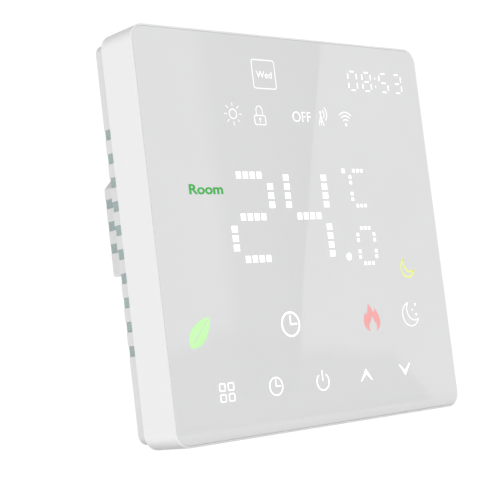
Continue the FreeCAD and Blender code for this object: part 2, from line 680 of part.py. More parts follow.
def retaining_clips():
    """Bowed leaf springs, welded to the steel plate, that grip the front shell's inside."""
    root = PLATE_H - CLIP_STEEL
    crest = INNER_H - CLIP_CLEARANCE
    y_plate = -PLATE_THICKNESS
    y_foot = y_plate - CLIP_STEEL
    y_bend = Y_RIM - MODULE_GAP
    y_tip = y_plate - CLIP_REACH
    y_crest = (y_bend + y_tip) / 2
    profile = [(y_plate, root - CLIP_FOOT), (y_plate, PLATE_H), (y_bend, PLATE_H), (y_crest, crest),
               (y_tip, PLATE_H), (y_tip, root), (y_crest, crest - CLIP_STEEL), (y_bend, root),
               (y_foot, root), (y_foot, root - CLIP_FOOT)]
    clips = []
    for sx, sz in CORNER_SIGNS:
        corners = [FreeCAD.Vector(sx * CLIP_AT - CLIP_WIDTH / 2, y, sz * z) for y, z in profile]
        face = Part.Face(Part.makePolygon(corners + corners[:1]))
        clips.append(face.extrude(FreeCAD.Vector(CLIP_WIDTH, 0, 0)))
    return clips


def power_lid():
    """Insulating lid over the power box, with spacers down to its board."""
    lid = rear_box(BOX_WALL + LID_CLEARANCE, Y_LID, Y_LID_REAR, Y_LID_REAR)
    lid = fuse([lid] + [rod(SPACER_RADIUS, x, z, Y_LID_REAR, Y_POWER) for x, z in post_places()])
    cuts = [header_block(WINDOW_CLEARANCE, Y_LID, Y_LID_REAR)]
    for x, z in post_places():
        cuts.append(rod(SMALL_HEAD + HEAD_CLEARANCE, x, z, Y_LID, Y_SEAT))
        cuts.append(rod(SMALL_SHANK + SCREW_CLEARANCE, x, z, Y_SEAT, Y_POWER))
    return lid.cut(Part.makeCompound(cuts))


def power_lid_screws():
    return [screw(x, z, Y_LID, Y_SEAT + LID_HOLE_DEPTH - SCREW_TIP_GAP) for x, z in post_places()]


def power_board():
    board = rear_box(BOX_WALL + POWER_BOARD_CLEARANCE, Y_POWER, 0, 0)
    hole = PIN_SIZE + 2 * PIN_CLEARANCE
    cuts = [block(x, z, hole, hole, Y_POWER, 0) for x, z in pin_places()]
    cuts += [rod(SMALL_SHANK + SCREW_CLEARANCE, x, z, Y_POWER, 0) for x, z in post_places()]
    return board.cut(Part.makeCompound(cuts))


def pin_header_base():
    base = header_block(0, Y_POWER - HEADER_DEPTH, Y_POWER)
    holes = [block(x, z, PIN_SIZE, PIN_SIZE, Y_POWER - HEADER_DEPTH, Y_POWER) for x, z in pin_places()]
    return base.cut(Part.makeCompound(holes))


def header_pins():
    y_tip = Y_BOARD_REAR + 2 * SOCKET_SKIN
    return [block(x, z, PIN_SIZE, PIN_SIZE, y_tip, PIN_TAIL) for x, z in pin_places()]


# ---- Parts on the power board ------------------------------------------------------------------
def transformer_core():
    """Ferrite core with two windows, one each side of its centre leg."""
    y0 = CORE_STAND
    core = block(TRANSFORMER_X, TRANSFORMER_Z, CORE_WIDTH, CORE_HEIGHT, y0, y0 + CORE_DEPTH)
    window = (CORE_WIDTH - 3 * CORE_LEG) / 2
    cuts = []
    for side in (-1, 1):
        x = TRANSFORMER_X + side * (CORE_LEG + window) / 2
        cuts.append(block(x, TRANSFORMER_Z, window, CORE_HEIGHT, y0 + CORE_LEG, y0 + CORE_DEPTH - CORE_LEG))
    return core.cut(Part.makeCompound(cuts))


def transformer_winding():
    """Taped winding round the core's centre leg."""
    y0 = CORE_STAND + CORE_LEG + WINDING_FIT
    y1 = CORE_STAND + CORE_DEPTH - CORE_LEG - WINDING_FIT
    inner_w = CORE_LEG + 2 * WINDING_FIT
    inner_h = CORE_HEIGHT + 2 * WINDING_FIT
    outer = block(TRANSFORMER_X, TRANSFORMER_Z, inner_w + 2 * WINDING_THICKNESS,
                  inner_h + 2 * WINDING_THICKNESS, y0, y1)
    upright = [edge for edge in outer.Edges if edge.BoundBox.YLength > (y1 - y0) / 2]
    outer = outer.makeFillet(WINDING_ROUND, upright)
    return outer.cut(block(TRANSFORMER_X, TRANSFORMER_Z, inner_w, inner_h, y0, y1))


def transformer_base():
    """Moulded foot between the board and the core."""
    return block(TRANSFORMER_X, TRANSFORMER_Z, CORE_WIDTH, CORE_HEIGHT + 2 * FOOT_MARGIN,
                 0, CORE_STAND)


def bulk_capacitor():
    """Electrolytic can with a rolled groove near its foot."""
    x, z = -15.0, -6.6
    radius, length, edge = 4.0, 11.0, 0.5
    groove_at, groove_ring, groove_radius = 2.0, 4.3, 0.6
    can = rod(radius, x, z, 0, length)
    can = can.makeFillet(edge, rim_edges(can, length))
    groove_centre = FreeCAD.Vector(x, groove_at, z)
    return can.cut(Part.makeTorus(groove_ring, groove_radius, groove_centre, FreeCAD.Vector(0, 1, 0)))


def suppression_capacitor():
    """Potted box capacitor across the mains."""
    x, z = 0.0, -8.2
    width, height, depth, corner = 13.0, 5.0, 10.0, 0.6
    body = block(x, z, width, height, 0, depth)
    upright = [edge for edge in body.Edges if edge.BoundBox.YLength > depth / 2]
    return body.makeFillet(corner, upright)


def varistor():
    """Coated disc on two legs."""
    x, z = 13.5, -8.0
    radius, thickness, centre, edge = 3.6, 3.0, 5.6, 0.8
    leg_radius, leg_offset = 0.35, 2.0
    disc = Part.makeCylinder(radius, thickness, FreeCAD.Vector(x, centre, z - thickness / 2))
    ends = [rim for rim in disc.Edges if rim.BoundBox.ZLength < SAME]
    disc = disc.makeFillet(edge, ends)
    legs = [rod(leg_radius, x + side * leg_offset, z, 0, centre) for side in (-1, 1)]
    return fuse([disc] + legs)


def fuse_link():
    """Small cylindrical fuse standing on the board."""
    x, z = 6.0, 20.5
    radius, length = 2.0, 7.0
    collar_radius, collar_length = 2.2, 1.2
    return fuse([rod(radius, x, z, 0, length), rod(collar_radius, x, z, 0, collar_length)])


# ---- Terminals ---------------------------------------------------------------------------------
def cage_planes():
    """y of the cage's front, the wire opening's two ends, and its rear, when fully open."""
    front = SHELF_DEPTH + CAGE_START
    rear = front + CAGE_LENGTH
    return front, front + CAGE_SIDE, rear - CAGE_NUT, rear


def chamber_end():
    return cage_planes()[3] + CAGE_TRAVEL + CHAMBER_CLEARANCE


def bar_front():
    """Front of the fixed bar: the raised cage stops just short of it."""
    return cage_planes()[1] + CAGE_TRAVEL + CHAMBER_CLEARANCE


def bar_leg_z():
    return CHAMBER_TOP + 2 * BAR_THICKNESS + BAR_THICKNESS / 2


def head_seat():
    return chamber_end() + HEAD_SEAT_THICKNESS


def terminal_block():
    half = (TERMINAL_COUNT * TERMINAL_PITCH) / 2 + TERMINAL_EDGE
    y1 = SHELF_DEPTH + TERMINAL_DEPTH
    body = box(-half, half, SHELF_DEPTH, y1, TERMINAL_BOTTOM, TERMINAL_TOP)
    body = body.makeChamfer(BLOCK_CHAMFER, rim_edges(body, y1))
    grooves = row_places(TERMINAL_COUNT - 1, TERMINAL_PITCH)
    cuts = [box(x - GROOVE_SIZE / 2, x + GROOVE_SIZE / 2, y1 - GROOVE_SIZE, y1, TERMINAL_BOTTOM, TERMINAL_TOP)
            for x in grooves]
    leg_top = bar_leg_z() + BAR_THICKNESS / 2 + BAR_SLOT_CLEARANCE
    bar_width = BAR_WIDTH + 2 * BAR_SLOT_CLEARANCE
    for x in terminal_places():
        cuts.append(box(x - CHAMBER_WIDTH / 2, x + CHAMBER_WIDTH / 2, SHELF_DEPTH, chamber_end(),
                        CHAMBER_BOTTOM, CHAMBER_TOP))
        cuts.append(box(x - bar_width / 2, x + bar_width / 2, SHELF_DEPTH,
                        bar_front() + BAR_THICKNESS + BAR_SLOT_CLEARANCE, CHAMBER_TOP, leg_top))
        cuts.append(rod(SCREW_SHANK + SCREW_CLEARANCE, x, SCREW_Z, chamber_end(), head_seat()))
        cuts.append(rod(SCREW_HEAD + 2 * SCREW_CLEARANCE, x, SCREW_Z, head_seat(), y1))
        entry = cage_planes()[1] - BAR_SLOT_CLEARANCE
        cuts.append(box(x - ENTRY_SIZE / 2, x + ENTRY_SIZE / 2, entry, entry + ENTRY_SIZE,
                        TERMINAL_BOTTOM, CHAMBER_BOTTOM))
    return body.cut(Part.makeCompound(cuts))


def terminal_bars():
    """Fixed bars that the cages pull the wires against, each with a leg to the power board."""
    y0 = bar_front()
    y1 = y0 + BAR_THICKNESS
    leg = bar_leg_z()
    bars = []
    for x in terminal_places():
        upright = box(x - BAR_WIDTH / 2, x + BAR_WIDTH / 2, y0, y1, CHAMBER_BOTTOM + BAR_END_GAP,
                      leg + BAR_THICKNESS / 2)
        foot = block(x, leg, BAR_WIDTH, BAR_THICKNESS, 0, y1)
        bars.append(fuse([upright, foot]))
    return bars


def terminal_screw(x):
    seat = head_seat() + HEAD_SEAT_GAP
    tip = bar_front() + BAR_THICKNESS + CHAMBER_CLEARANCE
    return screw(x, SCREW_Z, seat + SCREW_HEAD_HEIGHT, tip, SCREW_SHANK, SCREW_HEAD, SCREW_HEAD_HEIGHT)


def terminal_cage(x):
    """Square ring round the wire and the bar, threaded on its screw side."""
    front, open_front, open_rear, rear = cage_planes()
    ring = block(x, SCREW_Z, CAGE_WIDTH, CAGE_HEIGHT, front, rear)
    ring = ring.cut(block(x, SCREW_Z, CAGE_WIDTH - 2 * CAGE_SIDE, CAGE_HEIGHT, open_front, open_rear))
    return ring.cut(rod(SCREW_SHANK + SCREW_CLEARANCE, x, SCREW_Z, open_rear, rear))


# ---- Relay -------------------------------------------------------------------------------------
RELAY_X = RELAY_WALL_GAP + BOX_WALL - BOX_HALF_WIDTH + RELAY_WIDTH / 2
COIL_X = RELAY_X + COIL_OFFSET
Y_ARM = RELAY_BASE + YOKE_ARM                       # top of the yoke's lower arm
Y_COIL = Y_ARM + RELAY_FIT + FLANGE_THICKNESS
Y_COIL_END = Y_COIL + COIL_LENGTH
Y_POLE = Y_COIL_END + FLANGE_THICKNESS + RELAY_FIT  # underside of the pole face
Y_POLE_FACE = Y_POLE + POLE_THICKNESS
Y_ARMATURE = Y_POLE_FACE + POLE_GAP
Y_LEAF = Y_ARMATURE + ARMATURE_THICKNESS
YOKE_X = COIL_X - YOKE_OFFSET - YOKE_THICKNESS
PIVOT_X = YOKE_X + YOKE_THICKNESS / 2


def pivot_bar(radius):
    """Round bar along the axis that the flap swings on, as long as the yoke is high."""
    start = FreeCAD.Vector(PIVOT_X, Y_ARMATURE, RELAY_Z - YOKE_HALF_HEIGHT)
    return Part.makeCylinder(radius, 2 * YOKE_HALF_HEIGHT, start)


def relay_base():
    return block(RELAY_X, RELAY_Z, RELAY_WIDTH, RELAY_HEIGHT, 0, RELAY_BASE)


def relay_cover():
    cover = block(RELAY_X, RELAY_Z, RELAY_WIDTH, RELAY_HEIGHT, RELAY_BASE, RELAY_DEPTH)
    upright = [edge for edge in cover.Edges if edge.BoundBox.YLength > RELAY_DEPTH / 2]
    cover = cover.makeFillet(RELAY_CORNER, upright)
    return cover.cut(block(RELAY_X, RELAY_Z, RELAY_WIDTH - 2 * RELAY_WALL, RELAY_HEIGHT - 2 * RELAY_WALL,
                           RELAY_BASE, RELAY_DEPTH - RELAY_WALL))


def relay_bobbin():
    near = rod(FLANGE_RADIUS, COIL_X, RELAY_Z, Y_COIL - FLANGE_THICKNESS, Y_COIL)
    sleeve = rod(SLEEVE_RADIUS - RELAY_FIT, COIL_X, RELAY_Z, Y_COIL, Y_COIL_END)
    far = rod(FLANGE_RADIUS, COIL_X, RELAY_Z, Y_COIL_END, Y_COIL_END + FLANGE_THICKNESS)
    bore = rod(CORE_RADIUS + RELAY_FIT, COIL_X, RELAY_Z, Y_ARM, Y_POLE)
    return fuse([near, sleeve, far]).cut(bore)


def relay_coil():
    winding = rod(COIL_RADIUS, COIL_X, RELAY_Z, Y_COIL, Y_COIL_END)
    return winding.cut(rod(SLEEVE_RADIUS, COIL_X, RELAY_Z, Y_COIL, Y_COIL_END))


def relay_core():
    stem = rod(CORE_RADIUS, COIL_X, RELAY_Z, RELAY_BASE, Y_POLE)
    return fuse([stem, rod(POLE_RADIUS, COIL_X, RELAY_Z, Y_POLE, Y_POLE_FACE)])


def relay_yoke():
    side = box(YOKE_X, YOKE_X + YOKE_THICKNESS, RELAY_BASE, Y_ARMATURE - PIVOT_GAP,
               RELAY_Z - YOKE_HALF_HEIGHT, RELAY_Z + YOKE_HALF_HEIGHT)
    arm = box(YOKE_X, COIL_X + POLE_RADIUS, RELAY_BASE, Y_ARM,
              RELAY_Z - YOKE_HALF_HEIGHT, RELAY_Z + YOKE_HALF_HEIGHT)
    core_hole = rod(CORE_RADIUS + RELAY_FIT, COIL_X, RELAY_Z, RELAY_BASE, Y_ARM)
    groove = pivot_bar(PIVOT_RADIUS + RELAY_FIT)
    return fuse([side, arm]).cut(Part.makeCompound([core_hole, groove]))


def relay_armature():
    """Steel flap that rocks in the yoke's groove, down to the pole face."""
    flap = box(YOKE_X - ARMATURE_LIP, COIL_X + ARMATURE_REACH, Y_ARMATURE, Y_LEAF,
               RELAY_Z - YOKE_HALF_HEIGHT, RELAY_Z + YOKE_HALF_HEIGHT)
    return fuse([flap, pivot_bar(PIVOT_RADIUS)])


def contact_leaf():
    """Copper leaf on the armature, with the moving contact at its end."""
    x = COIL_X + CONTACT_REACH
    leaf = box(COIL_X - ARMATURE_REACH, x + CONTACT_RADIUS, Y_LEAF, Y_LEAF + LEAF_THICKNESS,
               RELAY_Z - LEAF_HALF_HEIGHT, RELAY_Z + LEAF_HALF_HEIGHT)
    return fuse([leaf, rod(CONTACT_RADIUS, x, RELAY_Z, Y_LEAF - CONTACT_HEIGHT, Y_LEAF)])


def fixed_contact():
    """Post with the fixed contact on its end."""
    x = COIL_X + CONTACT_REACH
    y_face = Y_LEAF - CONTACT_HEIGHT - CONTACT_GAP
    post = block(x, RELAY_Z, POST_THICKNESS, 2 * LEAF_HALF_HEIGHT, RELAY_BASE, y_face - CONTACT_HEIGHT)
    return fuse([post, rod(CONTACT_RADIUS, x, RELAY_Z, y_face - CONTACT_HEIGHT, y_face)])


NODES = {
    "front_panel": front_panel,
    "front_shell": front_shell,
    "diffuser_sheet": diffuser_sheet,
    "light_guide": light_guide,
    "display_board": display_board,
    "display_leds": display_leds,
    "touch_springs": touch_springs,
    "controller_chip": controller_chip,
    "radio_board": radio_board,
    "radio_shield": radio_shield,
    "buzzer": buzzer,
    "room_sensor": room_sensor,
    "display_socket": display_socket,
    "inner_cover": inner_cover,
    "inner_cover_screws": inner_cover_screws,
    "base_frame": base_frame,
    "mounting_plate": mounting_plate,
    "plate_screws": plate_screws,
    "retaining_clips": retaining_clips,
    "power_lid": power_lid,
    "power_lid_screws": power_lid_screws,
    "power_board": power_board,
    "pin_header_base": pin_header_base,
    "header_pins": header_pins,
    "transformer_base": transformer_base,
    "transformer_core": transformer_core,
    "transformer_winding": transformer_winding,
    "bulk_capacitor": bulk_capacitor,
    "suppression_capacitor": suppression_capacitor,
    "varistor": varistor,
    "fuse_link": fuse_link,
    "terminal_block": terminal_block,
    "terminal_bars": terminal_bars,
    "relay_base": relay_base,
    "relay_cover": relay_cover,
    "relay_bobbin": relay_bobbin,
    "relay_coil": relay_coil,
    "relay_core": relay_core,
    "relay_yoke": relay_yoke,
    "relay_armature": relay_armature,
    "contact_leaf": contact_leaf,
    "fixed_contact": fixed_contact,
}

for node, make in NODES.items():
    save(node, make())

for number, place in enumerate(terminal_places(), 1):
    save("terminal_screw_" + str(number), terminal_screw(place))
    save("terminal_cage_" + str(number), terminal_cage(place))
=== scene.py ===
"""Looks of the touch-screen wall thermostat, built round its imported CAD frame.

Row frame: +Z up, X to the right, the front face towards -Y, the wall at y = 0. Shapes on the
face are laid out in millimetres from the face's centre and scaled to metres when made.
"""
import math
import bmesh
import bpy
from mathutils import Matrix, Vector


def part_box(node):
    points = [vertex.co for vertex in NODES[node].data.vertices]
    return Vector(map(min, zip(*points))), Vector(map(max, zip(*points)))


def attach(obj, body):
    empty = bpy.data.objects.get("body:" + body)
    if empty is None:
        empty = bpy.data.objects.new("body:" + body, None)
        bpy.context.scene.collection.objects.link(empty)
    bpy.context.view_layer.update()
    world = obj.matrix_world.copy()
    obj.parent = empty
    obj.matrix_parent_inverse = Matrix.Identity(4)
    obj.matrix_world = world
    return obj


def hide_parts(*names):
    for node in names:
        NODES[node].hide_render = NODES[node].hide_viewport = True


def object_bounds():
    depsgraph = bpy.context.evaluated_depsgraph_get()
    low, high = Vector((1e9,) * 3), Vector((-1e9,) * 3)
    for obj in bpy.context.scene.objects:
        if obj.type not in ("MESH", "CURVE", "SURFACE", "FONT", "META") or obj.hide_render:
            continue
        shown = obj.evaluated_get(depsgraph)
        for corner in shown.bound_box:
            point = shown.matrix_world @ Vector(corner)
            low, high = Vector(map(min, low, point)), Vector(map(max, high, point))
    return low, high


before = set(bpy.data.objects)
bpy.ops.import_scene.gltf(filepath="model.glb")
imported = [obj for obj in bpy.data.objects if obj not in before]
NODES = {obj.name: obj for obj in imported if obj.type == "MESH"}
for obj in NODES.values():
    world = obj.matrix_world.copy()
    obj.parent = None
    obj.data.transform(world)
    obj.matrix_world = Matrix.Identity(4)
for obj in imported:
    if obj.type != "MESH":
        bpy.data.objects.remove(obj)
CAD_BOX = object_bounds()
MM = 0.001

# ---- Camera and stage -------------------------------------------------------------------------
CAMERA_AT = (-0.2130, -0.2299, -0.0297)
CAMERA_RIGHT = (0.7434, -0.6584, -0.1180)
CAMERA_FORWARD = (0.6682, 0.7388, 0.0875)
LENS_MM = 100.15
SENSOR_MM = 36.0
CLIP_NEAR, CLIP_FAR = 0.01, 50.0
HORIZON_LIGHT = 1.04            # strength of the white surroundings, level with the object
ZENITH_LIGHT = 0.06             # and overhead
DIM_FROM, DIM_TO = 0.42, 0.92   # sines of the heights between which they dim
KEY_STRENGTH = 0.35             # soft light from the front left, a little above
KEY_SPREAD = 60.0               # degrees
KEY_FROM = (-0.62, -0.66, 0.30)
FLOOR_SIZE = 6.0
FLOOR_GAP = 0.00005             # between the object and the floor
FLOOR_SHADE = 0.35
FLOOR_GLOW = 0.9                # with its shade, as white as the surroundings

# Soft dark flag on the floor, which keeps the floor's glow off the underside
FLAG_MARGIN = 2.5               # mm past the object
FLAG_SHADE = 0.5
FLAG_COLOUR = (0.1, 0.1, 0.1)

# Dark cards that only the glossy panel mirrors, laid out in mm where they show on the face
CARD_COLOUR = (0.0, 0.0, 0.08)
BAND_DISTANCE = 0.50            # metres from the panel
BAND_ROWS = (46.0, 20.0, -10.0, -30.0, -46.0)
BAND_LINES = ((-28.5, -27.5, -26.0, -27.5, -29.0), (-23.0, -22.5, -22.0, -23.0, -24.0),
              (-8.0, -10.0, -12.0, -14.0, -17.0), (12.4, 5.0, -2.9, -7.6, -11.5))
BAND_SHADES = (0.0, 0.7, 0.8, 1.0)
FOOT_DISTANCE = 0.07            # near, since the floor is mirrored just beyond it
FOOT_STEPS = (-44.0, -34.0, -29.0, -18.0, -6.0, 1.6, 13.6, 22.2, 29.1, 38.0)
FOOT_TOP = (-24.0, -23.0, -20.0, -22.0, -26.0, -26.0, -28.2, -28.6, -35.2, -46.0)
FOOT_FADE = (1.5, -2.0)         # start and end of the fade, from the top line
FOOT_LOW = -50.0
FOOT_SHADES = (0.0, 0.75, 0.85)

# ---- Panel ------------------------------------------------------------------------------------
PANEL_CORNER = 2.9
PANEL_EDGE = 0.12               # radius of its front edge
PANEL_SPREAD = 0.07             # seal round the panel, shown as part of it
EDGE_STEPS = 4
CORNER_STEPS = 14
FACE_SINK = 0.02                # the panel's face behind the lit symbols' face
ACRYLIC_IOR = 1.49
SYMBOL_DEPTH = 0.05
LINE = 0.25                     # usual width of a symbol's line
SHARPEST_MITRE = 0.4            # cosine beyond which a line's corner gets no longer

# ---- Vents ------------------------------------------------------------------------------------
NOTCH_COUNT = 10
NOTCH_PITCH = 5.0
VENT_HEIGHT = 2.1
NOTCH_BRIDGE = 0.4              # rim left in front of a notch
BOX_HALF_WIDTH = 26.0
SLOT_COUNT = 3
SLOT_TOP = 11.9
SLOT_PITCH = 5.1
SLOT_LENGTH = 9.0
SLOT_WRAP = 6.0
GAUZE_SINK = 0.15               # behind the wall's outer face
GAUZE_THICKNESS = 0.2
GAUZE_LAP = 0.1                 # into the wall beside a vent
GAUZE_END = 0.2                 # short of the box's rounded edge
WIRE = 0.09
WIRE_PITCH = 0.3


# ---- Materials --------------------------------------------------------------------------------
def grey(value):
    return (value, value, value, 1.0)


class Finish:
    """A principled shader with grain, mottling, roughness variation and worn edges."""

    def __init__(self, name, colour, roughness, metallic=0.0):
        self.material = bpy.data.materials.new(name)
        self.material.use_nodes = True
        self.nodes = self.material.node_tree.nodes
        self.links = self.material.node_tree.links
        self.shader = self.nodes["Principled BSDF"]
        self.shader.inputs["Base Color"].default_value = (*colour, 1.0)
        self.shader.inputs["Roughness"].default_value = roughness
        self.shader.inputs["Metallic"].default_value = metallic
        self.colour = self.shader.inputs["Base Color"]
        self.roughness = self.shader.inputs["Roughness"]
        self.place = self.nodes.new("ShaderNodeTexCoord").outputs["Object"]
        self.normal = None

    def node(self, kind, **values):
        made = self.nodes.new(kind)
        for key, value in values.items():
            setattr(made, key, value)
        return made

    def stretched(self, stretch):
        """Object coordinates scaled by a factor for each axis."""
        mapping = self.node("ShaderNodeMapping")
        mapping.inputs["Scale"].default_value = stretch
        self.links.new(self.place, mapping.inputs["Vector"])
        return mapping.outputs["Vector"]

    def noise(self, scale, detail=4.0, stretch=(1, 1, 1)):
        made = self.node("ShaderNodeTexNoise")
        made.inputs["Scale"].default_value = scale
        made.inputs["Detail"].default_value = detail
        self.links.new(self.stretched(stretch), made.inputs["Vector"])
        return made.outputs["Fac"]

    def remap(self, value, low, high, from_low=0.35, from_high=0.65):
        made = self.node("ShaderNodeMapRange")
        for name, number in (("From Min", from_low), ("From Max", from_high),
                             ("To Min", low), ("To Max", high)):
            made.inputs[name].default_value = number
        self.links.new(value, made.inputs["Value"])
        return made.outputs["Result"]

    def tint(self, factor, colour, blend="MIX"):
        """Blend a colour over the base colour by a factor that varies over the surface."""
        mix = self.node("ShaderNodeMix", data_type="RGBA", blend_type=blend)
        self.links.new(factor, mix.inputs["Factor"])
        if self.colour.is_linked:
            self.links.new(self.colour.links[0].from_socket, mix.inputs["A"])
        else:
            mix.inputs["A"].default_value = self.colour.default_value
        mix.inputs["B"].default_value = (*colour, 1.0)
        self.links.new(mix.outputs["Result"], self.colour)

    def mottle(self, scale, amount, detail=5.0, stretch=(1, 1, 1)):
        """Slight cloudy variation of the colour."""
        base = self.colour.default_value
        darker = tuple(max(0.0, c * (1 - amount)) for c in base[:3])
        self.tint(self.remap(self.noise(scale, detail, stretch), 0.0, 1.0), darker)

    def vary_roughness(self, scale, low, high, stretch=(1, 1, 1)):
        patches = self.noise(scale, detail=6.0, stretch=stretch)
        self.links.new(self.remap(patches, low, high), self.roughness)

    def bump(self, height, distance, strength=1.0):
        made = self.node("ShaderNodeBump")
        made.inputs["Distance"].default_value = distance
        made.inputs["Strength"].default_value = strength
        self.links.new(height, made.inputs["Height"])
        if self.normal is not None:
            self.links.new(self.normal, made.inputs["Normal"])
        self.normal = made.outputs["Normal"]
        self.links.new(self.normal, self.shader.inputs["Normal"])

    def grain(self, scale, distance, stretch=(1, 1, 1)):
        self.bump(self.noise(scale, detail=3.0, stretch=stretch), distance)

    def soft_edges(self, radius, wear=None):
        """Catch the light along sharp edges, and blend a wear colour over them."""
        bevel = self.node("ShaderNodeBevel", samples=4)
        bevel.inputs["Radius"].default_value = radius
        self.normal = bevel.outputs["Normal"]
        self.links.new(self.normal, self.shader.inputs["Normal"])
        if wear is None:
            return
        geometry = self.node("ShaderNodeNewGeometry")
        product = self.node("ShaderNodeVectorMath", operation="DOT_PRODUCT")
        self.links.new(bevel.outputs["Normal"], product.inputs[0])
        self.links.new(geometry.outputs["Normal"], product.inputs[1])
        edge = self.remap(product.outputs["Value"], 1.0, 0.0, from_low=0.86, from_high=0.995)
        worn = self.node("ShaderNodeMath", operation="MULTIPLY")
        self.links.new(edge, worn.inputs[0])
        self.links.new(self.remap(self.noise(scale=900.0), 0.2, 1.0), worn.inputs[1])
        self.tint(worn.outputs["Value"], wear)


def moulded(name, colour, roughness, grain=2600.0, depth=0.000012, mottle=0.03, edge=0.00012):
    """Injection-moulded plastic: fine satin grain, slight clouding, edges a touch lighter."""
    finish = Finish(name, colour, roughness)
    finish.soft_edges(edge, tuple(min(1.0, c * 1.05 + 0.01) for c in colour))
    finish.mottle(scale=120.0, amount=mottle)
    finish.mottle(scale=1500.0, amount=mottle / 2, detail=2.0)
    finish.vary_roughness(scale=400.0, low=roughness - 0.06, high=roughness + 0.08)
    finish.grain(grain, depth)
    return finish


def steel(name, colour, roughness, stretch=(1, 1, 12), spangle=0.10, edge=0.00008):
    """Plated steel: rolling lines, cloudy plating and bright worn edges."""
    finish = Finish(name, colour, roughness, metallic=1.0)
    finish.soft_edges(edge, tuple(min(1.0, c * 1.25 + 0.05) for c in colour))
    finish.mottle(scale=260.0, amount=spangle)
    finish.mottle(scale=2200.0, amount=spangle / 2, detail=3.0)
    finish.vary_roughness(scale=700.0, low=roughness - 0.08, high=roughness + 0.14)
    finish.grain(scale=3200.0, distance=0.000006, stretch=stretch)
    return finish


def circuit(name, colour, track):
    """Solder mask over copper tracks, with the tracks a shade lighter and slightly raised."""
    finish = Finish(name, colour, 0.32)
    finish.soft_edges(radius=0.00006)
    finish.mottle(scale=300.0, amount=0.08)
    cells = finish.node("ShaderNodeTexVoronoi", feature="F1", distance="CHEBYCHEV")
    cells.inputs["Scale"].default_value = 420.0
    finish.links.new(finish.stretched((1, 1, 1)), cells.inputs["Vector"])
    lines = finish.remap(cells.outputs["Distance"], 0.0, 1.0, from_low=0.40, from_high=0.46)
    finish.tint(lines, track)
    finish.bump(lines, distance=0.00002)
    finish.vary_roughness(scale=900.0, low=0.24, high=0.42)
    return finish


def acrylic():
    """Back-printed acrylic: light grey white under a polished face with faint smudges."""
    finish = Finish("face_acrylic", (0.722, 0.723, 0.726), 0.03)
    finish.shader.inputs["IOR"].default_value = ACRYLIC_IOR
    finish.mottle(scale=45.0, amount=0.012, detail=3.0)
    finish.vary_roughness(scale=160.0, low=0.008, high=0.03)
    finish.bump(finish.noise(scale=40.0, detail=1.0), distance=0.000001)
    return finish


def lit(name, colour, glow, strength):
    """A symbol that the lamps light from behind, under the same polished face."""
    finish = Finish(name, colour, 0.06)
    finish.shader.inputs["IOR"].default_value = ACRYLIC_IOR
    finish.shader.inputs["Emission Color"].default_value = (*glow, 1.0)
    spots = finish.remap(finish.noise(scale=520.0, detail=2.0), strength * 0.9, strength * 1.1)
    finish.links.new(spots, finish.shader.inputs["Emission Strength"])
    finish.mottle(scale=300.0, amount=0.03)
    finish.vary_roughness(scale=160.0, low=0.008, high=0.03)
    return finish


def copper_wire():
    """Fine turns of enamelled wire round the coil's axis."""
    finish = Finish("wire_turns", (0.62, 0.24, 0.09), 0.32, metallic=1.0)
    turns = finish.node("ShaderNodeTexWave", bands_direction="Y", wave_type="BANDS")
    turns.inputs["Scale"].default_value = 1100.0
    turns.inputs["Distortion"].default_value = 0.4
    finish.links.new(finish.place, turns.inputs["Vector"])
    finish.tint(turns.outputs["Fac"], (0.80, 0.38, 0.17))
    finish.bump(turns.outputs["Fac"], distance=0.00006)
    finish.vary_roughness(scale=900.0, low=0.25, high=0.45)
    return finish


def tape():
    """Overlapped turns of thin polyester tape."""
    finish = Finish("wound_tape", (0.78, 0.52, 0.06), 0.28)
    laps = finish.node("ShaderNodeTexWave", bands_direction="Y", wave_type="BANDS",
                       wave_profile="SAW")
    laps.inputs["Scale"].default_value = 160.0
    laps.inputs["Distortion"].default_value = 0.6
    finish.links.new(finish.place, laps.inputs["Vector"])
    finish.tint(finish.remap(laps.outputs["Fac"], 0.0, 1.0, from_low=0.0, from_high=1.0),
                (0.86, 0.64, 0.16))
    finish.bump(laps.outputs["Fac"], distance=0.00003)
    finish.vary_roughness(scale=500.0, low=0.2, high=0.38)
    return finish


def plain_floor():
    """Glowing white paper without gloss."""
    finish = Finish("floor_paper", (FLOOR_SHADE,) * 3, 0.9)
    finish.shader.inputs["Specular IOR Level"].default_value = 0.0
    finish.shader.inputs["Emission Color"].default_value = grey(1.0)
    finish.shader.inputs["Emission Strength"].default_value = FLOOR_GLOW
    finish.mottle(scale=8.0, amount=0.004)
    return finish


